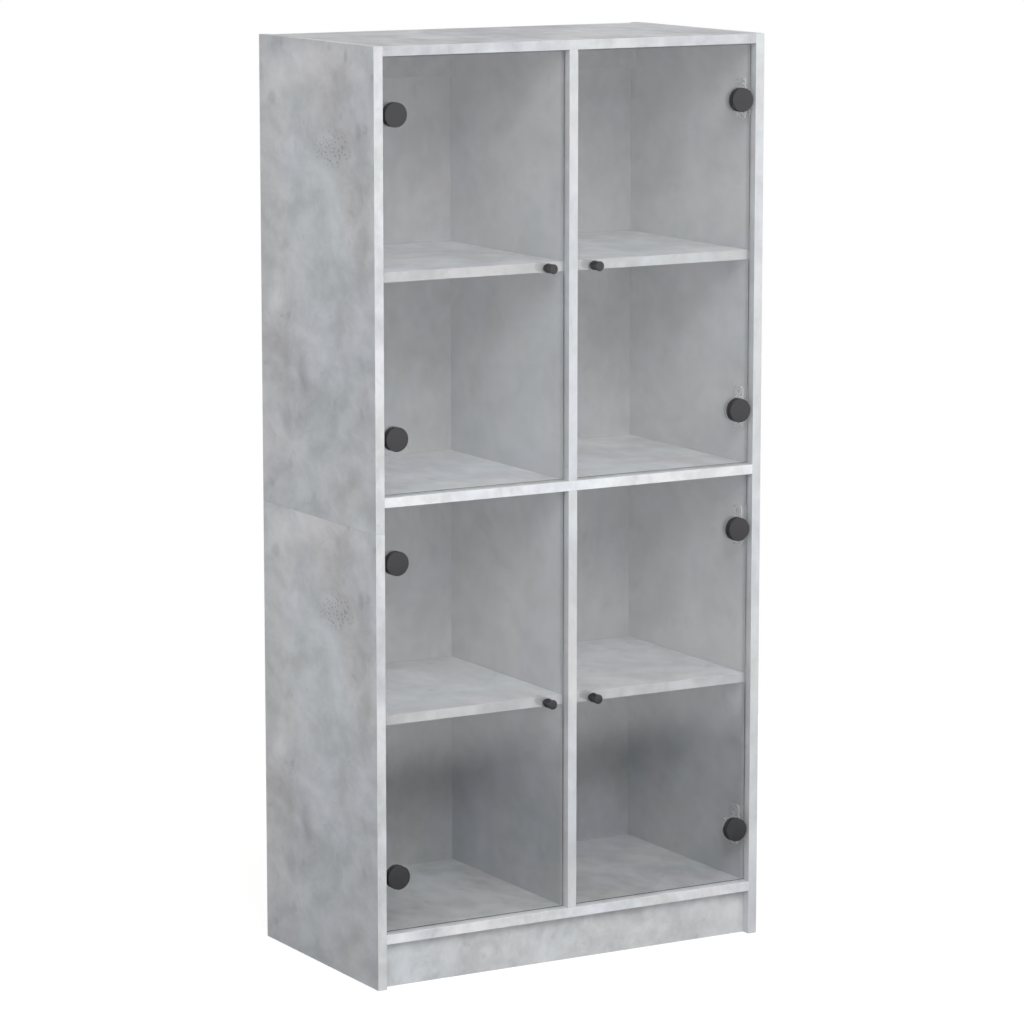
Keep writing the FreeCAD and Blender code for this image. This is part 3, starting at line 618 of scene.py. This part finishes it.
BEECH_WOOD = FineFinish(
    "beech_wood", (0.56, 0.39, 0.21), (0.40, 0.26, 0.13), grain=FIBRE, relief=Relief(0.3, 0.0001),
    drift=replace(FIBRE, span=(0.3, 0.7), result=(0.0, 0.8)), roughness=(0.62, 0.62),
    flecks=Layer(1500.0, span=(0.55, 0.68), result=(0.0, 0.6)))


@dataclass(frozen=True)
class Finishes:
    """Materials that the fittings and doors share."""

    plated: Material
    steel: Material
    black: Material
    knob_black: Material
    glass: Material
    gasket: Material
    beech: Material

    @classmethod
    def make(cls) -> Finishes:
        """Builds the shared materials."""
        kinds = (NICKEL_PLATE, ZINC_STEEL, BLACK_COAT, KNOB_COAT, ClearGlass(), GASKET_PLASTIC, BEECH_WOOD)
        return cls(*(kind.make() for kind in kinds))


# ---- mesh tools
def set_finish(mesh: bpy.types.Mesh, material: Material) -> None:
    """Gives a mesh its only material."""
    mesh.materials.clear()
    mesh.materials.append(material)


def soften(mesh: bpy.types.Mesh) -> None:
    """Shades a mesh smooth, except at its sharp edges."""
    mesh.shade_smooth()
    mesh.set_sharp_from_angle(angle=SMOOTH_ANGLE)


def linked(name: str, data: bpy.types.ID) -> bpy.types.Object:
    """Links a mesh, lamp or camera as an object at the origin.

    Args:
        name: name of the object.
        data: what it shows.

    Returns:
        The new object.
    """
    made = bpy.data.objects.new(name, data)
    bpy.context.scene.collection.objects.link(made)
    return made


def finished_object(name: str, mesh: bpy.types.Mesh, material: Material) -> bpy.types.Object:
    """Links a mesh, in the row frame, as an object at the origin with one material."""
    set_finish(mesh, material)
    return linked(name, mesh)


def mesh_of(form: bmesh.types.BMesh, name: str) -> bpy.types.Mesh:
    """Turns a working form into a mesh and frees the form.

    Args:
        form: the working form.
        name: name of the mesh.

    Returns:
        The mesh.
    """
    mesh = bpy.data.meshes.new(name)
    form.to_mesh(mesh)
    form.free()
    return mesh


def stand_in(piece: bpy.types.Object, body: str, node: str) -> None:
    """Rides a finished piece on its body in place of a CAD node.

    Args:
        piece: the finished piece.
        body: body that carries it.
        node: CAD node that it replaces.
    """
    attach(piece, body)
    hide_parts(node)


def turned_mesh(name: str, profile: Sequence[Span], centres: Iterable[Vector], segments: int) -> bpy.types.Mesh:
    """Closed turned solids about axes that run along Y.

    Args:
        name: name of the mesh.
        profile: (radius, depth along Y) pairs from the axis round to the axis again.
        centres: a point on each solid's axis, whose Y is where depth is zero.
        segments: faces round the axis.

    Returns:
        The mesh, with its faces outwards.
    """
    form = bmesh.new()
    for centre in centres:
        rings = []
        for radius, depth in profile:
            turn = [2 * math.pi * i / segments for i in range(1 if radius == 0.0 else segments)]
            rings.append([form.verts.new((centre.x + radius * math.cos(a), centre.y + depth,
                                          centre.z + radius * math.sin(a))) for a in turn])
        for first, second in zip(rings, rings[1:]):
            for i in range(segments):
                corners = [first[i % len(first)], first[(i + 1) % len(first)],
                           second[(i + 1) % len(second)], second[i % len(second)]]
                unique = list(dict.fromkeys(corners))
                if len(unique) > 2:
                    form.faces.new(unique)
    bmesh.ops.recalc_face_normals(form, faces=form.faces)
    mesh = mesh_of(form, name)
    soften(mesh)
    return mesh


def rounded_corner(radius: float, depth: float, bend: float, rear: bool = False, steps: int = 5) -> list[Span]:
    """Quarter-round of a turned profile.

    Args:
        radius: outer radius at the corner.
        depth: depth of the end face at the corner.
        bend: radius of the rounding.
        rear: at the rear end, where the profile runs from the wall to the face.
        steps: number of chords.

    Returns:
        (radius, depth) pairs in the profile's order.
    """
    points = []
    for i in range(steps + 1):
        angle = math.pi / 2 * i / steps
        back = bend * (1 - math.cos(angle))
        points.append((radius - bend + bend * math.sin(angle), depth - back if rear else depth + back))
    return points[::-1] if rear else points


def refined_copy(cad: bpy.types.Object, material: Material, bevel: float, name: str) -> bpy.types.Object:
    """Merged copy of a CAD node with softened edges and smooth curved faces.

    Args:
        cad: CAD node to copy.
        material: finish of the copy.
        bevel: width of the softened edges, in metres.
        name: name of the copy.

    Returns:
        The copy, at the origin.
    """
    form = bmesh.new()
    form.from_mesh(cad.data)
    bmesh.ops.remove_doubles(form, verts=form.verts, dist=MERGE_DISTANCE)
    bmesh.ops.dissolve_limit(form, angle_limit=FLAT_ANGLE, verts=form.verts, edges=form.edges)
    copy = finished_object(name, mesh_of(form, name), material)
    edges = copy.modifiers.new("soft edges", "BEVEL")
    edges.width = bevel
    edges.segments = BEVEL_SEGMENTS
    edges.limit_method = "ANGLE"
    edges.angle_limit = BEVEL_ANGLE
    edges.harden_normals = False
    soften(copy.data)
    return copy


# ---- repeated fasteners
ROUND_SEGMENTS = 32
RECESS_WIDTH = 0.28
CUTTER_PROUD = 0.0005


class GeometryTree(NodeBuilder):
    """Adds and links the nodes of one geometry tree with named inputs."""

    def __init__(self, name: str) -> None:
        """Starts a tree with a geometry input and output.

        Args:
            name: name of the node group.
        """
        super().__init__(bpy.data.node_groups.new(name, "GeometryNodeTree"))
        for way in ("INPUT", "OUTPUT"):
            self.tree.interface.new_socket("Geometry", in_out=way, socket_type="NodeSocketGeometry")
        self.inlet = self.node("NodeGroupInput")
        self.outlet = self.node("NodeGroupOutput")
        self.identifiers: dict[str, str] = {}

    def size(self, name: str, value: float) -> None:
        """Adds a size input.

        Args:
            name: name of the input.
            value: its default, in metres.
        """
        socket = self.tree.interface.new_socket(name, in_out="INPUT", socket_type="NodeSocketFloat")
        socket.default_value = value
        self.identifiers[name] = socket.identifier

    def given(self, name: str) -> Socket:
        """The inlet's socket of that name."""
        return self.inlet.outputs[name]

    def raised(self, primitive: bpy.types.Node, height: Value) -> Socket:
        """A primitive's mesh moved up by that height."""
        move = {"Translation": self.node("ShaderNodeCombineXYZ", {2: height}).outputs[0]}
        return self.node("GeometryNodeTransform", {"Geometry": primitive.outputs["Mesh"], **move}).outputs[0]

    def below(self, top: Value, length: Value) -> Socket:
        """Height of the middle of something of that length whose upper end is at top."""
        return self.math("SUBTRACT", top, self.math("MULTIPLY", length, 0.5))

    def rod(self, radius: Value, length: Value, top: Value) -> Socket:
        """Closed rod along Z whose upper end is at top."""
        inputs = {"Radius": radius, "Depth": length, "Vertices": ROUND_SEGMENTS}
        return self.raised(self.node("GeometryNodeMeshCylinder", inputs), self.below(top, length))

    def taper(self, lower: Value, upper: Value, length: Value, top: Value) -> Socket:
        """Closed cone along Z, from its lower radius to its upper radius at top."""
        made = self.node("GeometryNodeMeshCone", {
            "Radius Top": upper, "Radius Bottom": lower, "Depth": length, "Vertices": ROUND_SEGMENTS})
        return self.raised(made, self.math("SUBTRACT", top, length))

    def block(self, x: Value, y: Value, z: Value, top: Value) -> Socket:
        """Block of that size whose upper face is at top."""
        size = self.node("ShaderNodeCombineXYZ", {0: x, 1: y, 2: z}).outputs[0]
        return self.raised(self.node("GeometryNodeMeshCube", {"Size": size}), self.below(top, z))

    def joined(self, operation: str, parts: Sequence[Socket], whole: Socket | None = None) -> Socket:
        """Result of one Boolean node.

        Args:
            operation: Blender's name of the operation.
            parts: the solids to unite or to cut away.
            whole: the solid that they are cut from.

        Returns:
            The closed solid.
        """
        made = self.node("GeometryNodeMeshBoolean", operation=operation, solver="EXACT")
        if whole is not None:
            self.tree.links.new(whole, made.inputs[0])
        for part in parts:
            self.tree.links.new(part, made.inputs[1])
        return made.outputs[0]

    def spread(self, solid: Socket, material: Material) -> None:
        """Puts the solid, whose Z axis points outwards, on every point along its normal, and ends the tree.

        Args:
            solid: geometry of one fastener.
            material: its finish.
        """
        normal = self.node("GeometryNodeInputNamedAttribute", {"Name": "outward"}, data_type="FLOAT_VECTOR")
        turn = self.node("FunctionNodeAlignRotationToVector", {"Vector": normal.outputs["Attribute"]}, axis="Z")
        placed = self.node("GeometryNodeInstanceOnPoints", {
            "Points": self.inlet.outputs["Geometry"], "Instance": solid, "Rotation": turn.outputs[0]})
        real = self.node("GeometryNodeRealizeInstances", {"Geometry": placed.outputs[0]})
        dressed = self.node("GeometryNodeSetMaterial", {"Geometry": real.outputs[0], "Material": material})
        self.tree.links.new(dressed.outputs[0], self.outlet.inputs[0])


@dataclass(frozen=True)
class Seat:
    """Place of one fastener: the point where its head's top lies, and the way that it faces."""

    at: Point
    outward: Point


@dataclass(frozen=True)
class Screw:
    """Cross-recessed screw: a flat round head or a countersunk one on a plain shank."""

    head_radius: float
    head_height: float
    sink: float
    shank_radius: float
    length: float
    recess: float
    recess_depth: float

    def sizes(self) -> dict[str, float]:
        """Input name to value, in metres."""
        return {part.name.replace("_", " ").capitalize(): getattr(self, part.name) for part in fields(self)}

    def tree(self, name: str, material: Material) -> GeometryTree:
        """Builds the screw's geometry tree.

        Args:
            name: name of the tree.
            material: the screw's finish.

        Returns:
            The tree, with a named input for each size.
        """
        made = GeometryTree(name)
        for key, value in self.sizes().items():
            made.size(key, value)
        head, height, sink, shank, length, recess, depth = (made.given(key) for key in self.sizes())
        under_head = made.math("MULTIPLY", height, -1.0)
        within_head = made.math("MULTIPLY", height, -0.5)
        body = made.joined("UNION", [made.rod(head, height, 0.0), made.taper(shank, head, sink, under_head),
                                     made.rod(shank, length, within_head)])
        width = made.math("MULTIPLY", recess, RECESS_WIDTH)
        deep = made.math("ADD", depth, CUTTER_PROUD)
        bars = [made.block(x, y, deep, CUTTER_PROUD) for x, y in ((recess, width), (width, recess))]
        made.spread(made.joined("DIFFERENCE", bars, body), material)
        return made

    def drive(self, name: str, seats: Sequence[Seat], material: Material) -> bpy.types.Object:
        """Makes the screws at their seats as one plain mesh.

        Args:
            name: name of the object.
            seats: where the screws sit.
            material: their finish.

        Returns:
            The object, at the origin, without a modifier.
        """
        mesh = bpy.data.meshes.new(name)
        mesh.from_pydata([seat.at for seat in seats], [], [])
        outward = mesh.attributes.new("outward", "FLOAT_VECTOR", "POINT")
        for i, seat in enumerate(seats):
            outward.data[i].vector = seat.outward
        points = linked(name, mesh)
        tree = self.tree(f"{name}_tree", material)
        modifier = points.modifiers.new("fasteners", "NODES")
        modifier.node_group = tree.tree
        for key, value in self.sizes().items():
            modifier[tree.identifiers[key]] = value
        graph = bpy.context.evaluated_depsgraph_get()
        plain = bpy.data.meshes.new_from_object(points.evaluated_get(graph), depsgraph=graph)
        points.modifiers.clear()
        points.data = plain
        soften(plain)
        return points


PLATE_SCREW = Screw(head_radius=0.0046, head_height=0.0004, sink=0.0016, shank_radius=0.0029, length=0.0125,
                    recess=0.0046, recess_depth=0.0012)
ARM_SCREW = Screw(head_radius=0.0038, head_height=0.0022, sink=0.0001, shank_radius=0.0020, length=0.0095,
                  recess=0.0042, recess_depth=0.0012)
COVER_SCREW = Screw(head_radius=0.0028, head_height=0.0003, sink=0.00105, shank_radius=0.00145, length=0.0125,
                    recess=0.0030, recess_depth=0.0008)
KNOB_SCREW = Screw(head_radius=0.0040, head_height=0.0024, sink=0.0001, shank_radius=0.0020, length=0.0140,
                   recess=0.0044, recess_depth=0.0013)


# ---- sub-assemblies
@dataclass(frozen=True)
class Tone:
    """Display tone of a board's faces, with painted light and shade in it, and the share of it that its front
    edge shows.
    """

    face: float
    edge: float


DECOR_OFFSETS: dict[str, Point] = {
    "LEFT": (0.3, 0.1, 0.0),
    "RIGHT": (2.6, 0.7, 0.0),
    "divider_upper": (4.1, 3.3, 1.9),
    "divider_lower": (5.2, 1.9, 0.4),
    "back_panel_upper": (7.7, 4.4, 0.0),
    "back_panel_lower": (8.7, 4.4, 2.0),
}
WIDE_OFFSET: Point = (1.3, 2.2, 0.0)
WIDE_STEP: Point = (0.71, -0.37, 0.55)
# Shelves, middle and bottom boards are laminated lighter than the panels, as painted light on their tops; the
# top board and the plinth are laminated darker, as painted shade. The edge shares keep their front edges darker
# than their faces.
WIDE_BOARDS_WITH_PAINTED_LIGHT = {
    "top_board": Tone(194.0, 0.88),
    "middle_board": Tone(225.0, 0.82),
    "bottom_board": Tone(225.0, 0.82),
    "plinth_board": Tone(200.0, 0.85),
    "rear_rails": Tone(200.0, 0.85),
    **{f"shelf_{level.name}_{side.name}".lower(): Tone(225.0, 0.77) for level in Level for side in Side},
}
SIDE_MARKS = (
    Mark(0.110, 0.450, 0.026, 0.085, 0.11, -0.62),
    Mark(0.240, 0.672, 0.130, 0.036, 0.10),
    Mark(0.270, 0.035, 0.130, 0.045, -0.06),
    Mark(0.090, 0.702, 0.008, 0.012, -0.20),
    Mark(0.326, 0.630, 0.016, 0.014, -0.16, 0.5),
    Mark(0.049, 0.592, 0.012, 0.014, -0.15, 0.4),
    Mark(0.275, 0.185, 0.085, 0.075, -0.13),
    Mark(0.232, 0.205, 0.022, 0.030, -0.10),
    Mark(0.282, 0.140, 0.022, 0.024, -0.10),
    Mark(0.040, 0.340, 0.045, 0.032, 0.09),
    Mark(0.316, 0.335, 0.030, 0.030, 0.08),
    Mark(0.027, 0.244, 0.026, 0.018, -0.12),
    Mark(0.030, 0.520, 0.040, 0.150, -0.05),
    Mark(0.100, 0.570, 0.024, 0.022, -0.08),
)
PITTED_PATCHES = (Mark(0.132, 0.562, 0.060, 0.033, 1.0),)


@dataclass
class Boards:
    """The laminated boards, their decor and the thin back panels."""

    frame: dict
    inner_calm: float = 0.6
    repeat: float = 0.700
    def side_panel(self, side: Side, name: str, foot: float) -> ConcreteLaminate:
        """Laminate of one length of a side panel.

        Args:
            side: the panel's side.
            name: name of the finish.
            foot: height at which this length's decor starts.

        Returns:
            The finish.
        """
        x, y, _ = DECOR_OFFSETS[side.name]
        if side is Side.RIGHT:
            return ConcreteLaminate(name, offset=(x, y, -foot), calm=self.inner_calm)
        return ConcreteLaminate(name, offset=(x, y, -foot), marks=SIDE_MARKS, pitted=PITTED_PATCHES,
                                marks_from=foot)

    def finishes(self) -> dict[str, ConcreteLaminate]:
        """The laminate of every board, each with its own stretch of decor.

        Returns:
            Node name to finish.
        """
        boards = {node: ConcreteLaminate(f"decor_{node}", offset=DECOR_OFFSETS[node], calm=self.inner_calm)
                  for node in ("divider_upper", "divider_lower")}
        for side in Side:
            for level, foot in ((Level.LOWER, 0.0), (Level.UPPER, self.repeat)):
                node = f"side_{side.name}_{level.name}".lower()
                boards[node] = self.side_panel(side, f"decor_{node}", foot)
        # The wide boards' tones carry painted light on the lighter boards and painted shade on the top board
        # and the plinth.
        for i, (node, tone) in enumerate(WIDE_BOARDS_WITH_PAINTED_LIGHT.items()):
            offset = tuple(start + step * i for start, step in zip(WIDE_OFFSET, WIDE_STEP))
            boards[node] = ConcreteLaminate(f"decor_{node}", Grain.ACROSS, offset, tone.face, tone.edge)
        return boards

    def build(self) -> None:
        """Gives each board its laminate and each back panel its two faces."""
        materials = {node: finish.make() for node, finish in self.finishes().items()}
        for node in ("back_panel_upper", "back_panel_lower"):
            decor = ConcreteLaminate(f"decor_{node}", offset=DECOR_OFFSETS[node], calm=self.inner_calm)
            materials[node] = BackBoard(decor).make()
        for node, material in materials.items():
            set_finish(self.frame["nodes"][node].data, material)
        LOG.info("boards: %d dressed", len(materials))


@dataclass
class Fittings:
    """Hinge hardware, screws, pins and nails that stay on the carcass."""

    frame: dict
    finishes: Finishes
    body: str = "carcass"
    plate: float = 0.002
    plate_middle: float = 0.042
    plate_screw_drop: float = 0.024
    plate_bevel: float = 0.0007
    arm_face: float = 0.012
    arm_screw_depths: Span = (0.041, 0.052)
    arm_bevel: float = 0.0005

    def seats(self, out: float, depth: float, drops: Sequence[float] = (0.0,)) -> list[Seat]:
        """Seats on both side panels, facing the middle.

        Args:
            out: distance of the head's top from the panel.
            depth: distance behind the carcass front.
            drops: heights about each hinge's middle.

        Returns:
            One seat per side, hinge and drop.
        """
        heights = [height for level in (Level.LOWER, Level.UPPER) for height in CARCASS.hinge_heights(level)]
        return [Seat((side.value * (CARCASS.side_inner - out), CARCASS.front + depth, height + drop),
                     (-side.value, 0.0, 0.0))
                for side in Side for height in heights for drop in drops]

    def screws(self) -> None:
        """Countersunk screws in the plates' wings, and round-headed ones that hold the arms."""
        drops = (-self.plate_screw_drop, self.plate_screw_drop)
        plate_seats = self.seats(self.plate, self.plate_middle, drops)
        out = self.arm_face + ARM_SCREW.head_height
        arm_seats = [seat for depth in self.arm_screw_depths for seat in self.seats(out, depth)]
        for screw, part, seats in ((PLATE_SCREW, "plate_screws", plate_seats),
                                   (ARM_SCREW, "arm_screws", arm_seats)):
            made = screw.drive(part, seats, self.finishes.steel)
            stand_in(made, self.body, f"hinge_{part}")

    def build(self) -> None:
        """Builds the plates, arms and screws and dresses what is left."""
        self.screws()
        nodes = self.frame["nodes"]
        for node, bevel in (("hinge_arms", self.arm_bevel), ("hinge_mounting_plates", self.plate_bevel)):
            copy = refined_copy(nodes[node], self.finishes.plated, bevel, f"{node}_finished")
            stand_in(copy, self.body, node)
        for node in ("shelf_pins", "cam_locks", "cam_bolts", "back_panel_nails"):
            set_finish(nodes[node].data, self.finishes.steel)
        set_finish(nodes["dowels"].data, self.finishes.beech)
        LOG.info("fittings: plates, arms, screws, pins, cams, nails and dowels")


@dataclass
class Door:
    """One glass door with its caps, bowls, gaskets, knob and screws; depths count from the carcass front."""

    frame: dict
    level: Level
    side: Side
    finishes: Finishes
    cap_radius: float = 0.0185
    cap_face: float = 0.0010
    cap_seat: float = 0.0106
    cap_round: float = 0.0008
    cap_chamfer: float = 0.0002
    cap_segments: int = 96
    well_radius: float = 0.0173
    well_floor: float = 0.0082
    cap_from_side: float = 0.0225
    cap_screw_drop: float = 0.012
    cap_screw_head: float = 0.0169
    bowl_bevel: float = 0.0003
    knob_radius: float = 0.0075
    knob_waist: float = 0.0005
    knob_waist_steps: int = 12
    knob_face: float = -0.0104
    knob_rear: float = 0.0072
    knob_seat: float = 0.0106
    knob_neck: float = 0.0050
    knob_round: float = 0.0012
    knob_segments: int = 72
    knob_from_divider: float = 0.0405
    knob_screw_head: float = 0.0178

    @property
    def name(self) -> str:
        """Name that the door's nodes end in."""
        return f"{self.level.name}_{self.side.name}".lower()

    def attach(self, piece: bpy.types.Object, node: str) -> None:
        """Rides the piece on the door in place of the CAD node whose name starts so."""
        stand_in(piece, f"door_{self.name}", f"{node}_{self.name}")

    def hinge_centres(self) -> list[Vector]:
        """Points on the caps' axes in the plane of the carcass front."""
        x = self.side.value * (CARCASS.side_inner - self.cap_from_side)
        return [Vector((x, CARCASS.front, height)) for height in CARCASS.hinge_heights(self.level)]

    def knob_centre(self) -> Vector:
        """Point on the knob's axis in the plane of the carcass front."""
        return Vector((self.side.value * self.knob_from_divider, CARCASS.front, self.level.value))

    def caps(self) -> None:
        """Round covers with a softly rounded rim and a hollow rear."""
        profile = [(0.0, self.cap_face), *rounded_corner(self.cap_radius, self.cap_face, self.cap_round),
                   (self.cap_radius, self.cap_seat - self.cap_chamfer),
                   (self.cap_radius - self.cap_chamfer, self.cap_seat),
                   (self.well_radius, self.cap_seat), (self.well_radius, self.well_floor),
                   (0.0, self.well_floor)]
        mesh = turned_mesh(f"cap_mesh_{self.name}", profile, self.hinge_centres(), self.cap_segments)
        made = finished_object(f"hinge_covers_{self.name}", mesh, self.finishes.black)
        self.attach(made, "hinge_caps")

    def knob(self) -> None:
        """Turned knob with a slight waist on a thin neck."""
        profile = [(0.0, self.knob_face), *rounded_corner(self.knob_radius, self.knob_face, self.knob_round)]
        length = self.knob_rear - self.knob_face - 2 * self.knob_round
        for i in range(1, self.knob_waist_steps):
            share = i / self.knob_waist_steps
            sag = self.knob_waist * math.sin(math.pi * share)
            profile.append((self.knob_radius - sag, self.knob_face + self.knob_round + length * share))
        profile += rounded_corner(self.knob_radius, self.knob_rear, self.knob_round, rear=True)
        profile += [(self.knob_neck, self.knob_rear), (self.knob_neck, self.knob_seat), (0.0, self.knob_seat)]
        mesh = turned_mesh(f"knob_mesh_{self.name}", profile, [self.knob_centre()], self.knob_segments)
        made = finished_object(f"turned_knob_{self.name}", mesh, self.finishes.knob_black)
        self.attach(made, "knob")

    def screws(self) -> None:
        """Countersunk screws from the bowl flanges into the caps, and one through the glass into the knob."""
        flange = CARCASS.front + self.cap_screw_head
        seats = [Seat((centre.x, flange, centre.z + drop), REARWARD) for centre in self.hinge_centres()
                 for drop in (-self.cap_screw_drop, self.cap_screw_drop)]
        made = COVER_SCREW.drive(f"cover_screws_{self.name}", seats, self.finishes.steel)
        self.attach(made, "hinge_cap_screws")
        centre = self.knob_centre()
        seat = Seat((centre.x, CARCASS.front + self.knob_screw_head, centre.z), REARWARD)
        made = KNOB_SCREW.drive(f"handle_screw_{self.name}", [seat], self.finishes.steel)
        self.attach(made, "knob_screw")

    def build(self) -> None:
        """Builds the door's own pieces and dresses the nodes that stay."""
        self.caps()
        self.knob()
        self.screws()
        nodes = self.frame["nodes"]
        bowls = refined_copy(nodes[f"hinge_bowls_{self.name}"], self.finishes.plated, self.bowl_bevel,
                             f"hinge_cups_{self.name}")
        self.attach(bowls, "hinge_bowls")
        for node, material in (("glass_door", self.finishes.glass), ("gaskets", self.finishes.gasket),
                               ("hinge_pins", self.finishes.steel)):
            set_finish(nodes[f"{node}_{self.name}"].data, material)
        LOG.info("door %s: pane, covers, cups, knob and screws", self.name)


# ---- studio
@dataclass(frozen=True)
class Lamp:
    """Square soft lamp that faces a point."""

    name: str
    at: Point
    aim: Point
    size: float
    power: float

    def hang(self) -> None:
        """Adds the lamp to the scene."""
        data = bpy.data.lights.new(self.name, "AREA")
        data.shape = "SQUARE"
        data.size = self.size
        data.energy = self.power
        made = linked(self.name, data)
        made.location = self.at
        made.rotation_euler = (Vector(self.aim) - Vector(self.at)).to_track_quat("-Z", "Y").to_euler()
        made.visible_transmission = False
        made.visible_glossy = False


@dataclass
class Studio:
    """Pale floor, soft light and the camera."""

    camera_at: Point = (-3.34542, -5.78077, 1.79976)
    camera_yaw: float = 0.5242
    camera_pitch: float = 0.16631
    lens: float = 152.92
    sensor: float = 36.0
    clip: Span = (0.05, 100.0)
    floor_x: Span = (-1.30, 1.70)
    floor_y: Span = (-1.80, 1.20)
    floor_tone: float = 0.65
    floor_glow: float = 0.90
    floor_seen_tone: float = 0.2
    mirror_ahead: Span = (-1.30, -1.75)
    mirror_beside: Span = (1.10, 1.45)
    mirror_dark: float = 0.06
    mirror_white: float = 1.25
    sky_even: float = 0.0
    sky_front: float = 1.60
    sky_left: float = 0.225
    sky_top: float = 0.03
    lamps: tuple[Lamp, ...] = (
        Lamp("front_lamp", at=(-2.4, -6.6, 5.65), aim=(0.0, 0.0, 0.7), size=3.3, power=276.0),
        Lamp("rear_lamp", at=(2.2, 4.2, 1.1), aim=(0.0, 0.0, 0.7), size=2.4, power=170.0),
    )

    def camera(self) -> None:
        """Camera at eye height, turned to the right and looking slightly down."""
        data = bpy.data.cameras.new("camera")
        data.sensor_width = self.sensor
        data.lens = self.lens
        data.clip_start, data.clip_end = self.clip
        made = linked("camera", data)
        made.location = self.camera_at
        made.rotation_euler = (math.pi / 2 - self.camera_pitch, 0.0, -self.camera_yaw)
        bpy.context.scene.camera = made

    def looks(self, tree: ShaderTree) -> tuple[Socket, Socket]:
        """Switches between what is seen and what gives light.

        Args:
            tree: tree of the floor or the world.

        Returns:
            1 for rays that show the background in any way, and 1 for those that have been mirrored.
        """
        path = tree.node("ShaderNodeLightPath").outputs
        either = tree.math("MAXIMUM", path["Is Camera Ray"], path["Is Transmission Ray"])
        either = tree.math("MAXIMUM", either, path["Is Glossy Ray"])
        seen = tree.math("MULTIPLY", either, tree.math("LESS_THAN", path["Diffuse Depth"], NO_BOUNCE))
        return seen, tree.math("GREATER_THAN", path["Glossy Depth"], NO_BOUNCE)

    def floor_mirrored(self, tree: ShaderTree) -> Socket:
        """Strength of the floor in a mirror: dark near the bookcase, white farther ahead and beside it.

        Args:
            tree: the floor's tree.

        Returns:
            The strength.
        """
        place, _ = tree.object_coordinates()
        fade = (self.mirror_dark, self.mirror_white)
        ahead = tree.scale_range(tree.axis(place, 1), self.mirror_ahead, fade)
        off_middle = tree.math("ABSOLUTE", tree.math("SUBTRACT", tree.axis(place, 0), sum(self.floor_x) / 2))
        return tree.math("MAXIMUM", ahead, tree.scale_range(off_middle, self.mirror_beside, fade))

    def floor(self) -> None:
        """Matt floor round the bookcase, white to the eye, with a faint shadow; mirrored, it is dark nearby."""
        mesh = bpy.data.meshes.new("studio_floor")
        (left, right), (front, rear) = self.floor_x, self.floor_y
        mesh.from_pydata([(left, front, 0), (right, front, 0), (right, rear, 0), (left, rear, 0)], [],
                         [(0, 1, 2, 3)])
        tree = ShaderTree.of_material("studio_floor_white")
        seen, mirrored = self.looks(tree)
        white = tree.node("ShaderNodeAddShader", {
            0: tree.emission(self.floor_glow), 1: tree.matt(self.floor_seen_tone)}).outputs[0]
        look = tree.choice(mirrored, white, tree.emission(self.floor_mirrored(tree)))
        shader = tree.choice(seen, tree.matt(self.floor_tone), look)
        made = finished_object("studio_floor", mesh, tree.surface(shader))

    def world(self) -> None:
        """Soft light, strongest from the front, seen as white."""
        world = bpy.data.worlds.new("studio_world")
        tree = ShaderTree(world)
        way = tree.node("ShaderNodeTexCoord").outputs["Generated"]
        ahead, leftward = (tree.math("MAXIMUM", tree.math("MULTIPLY", tree.axis(way, i), -1.0)) for i in (1, 0))
        upper = tree.math("MAXIMUM", tree.axis(way, 2))
        level = tree.math("MULTIPLY_ADD", ahead, self.sky_front, self.sky_even)
        for lobe, weight in ((leftward, self.sky_left), (upper, self.sky_top)):
            level = tree.math("ADD", level, tree.math("MULTIPLY", lobe, weight))
        seen, mirrored = self.looks(tree)
        look = tree.scale_range(mirrored, (0.0, 1.0), (1.0, self.mirror_white), smooth=False)
        strength = tree.node("ShaderNodeMix", {0: seen, 2: level, 3: look}, data_type="FLOAT").outputs[0]
        backdrop = tree.node("ShaderNodeBackground", {"Color": rgba(WHITE), "Strength": strength})
        bpy.context.scene.world = tree.surface(backdrop.outputs[0])

    def build(self) -> None:
        """Sets the view, the floor, the world and the lamps."""
        bpy.context.scene.view_settings.view_transform = "Standard"
        self.camera()
        self.floor()
        self.world()
        for lamp in self.lamps:
            lamp.hang()
        LOG.info("studio: camera, floor, world and lamps")


def main(frame: dict) -> None:
    """Builds the finishes and the pieces in order and reports each.
    """
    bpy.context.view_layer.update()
    Studio().build()
    finishes = Finishes.make()
    Boards(frame).build()
    Fittings(frame, finishes).build()
    for level in Level:
        for side in Side:
            Door(frame, level, side, finishes).build()


if __name__ == "__main__":
    logging.basicConfig(level=logging.INFO, format="%(name)s: %(message)s")
    main(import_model())
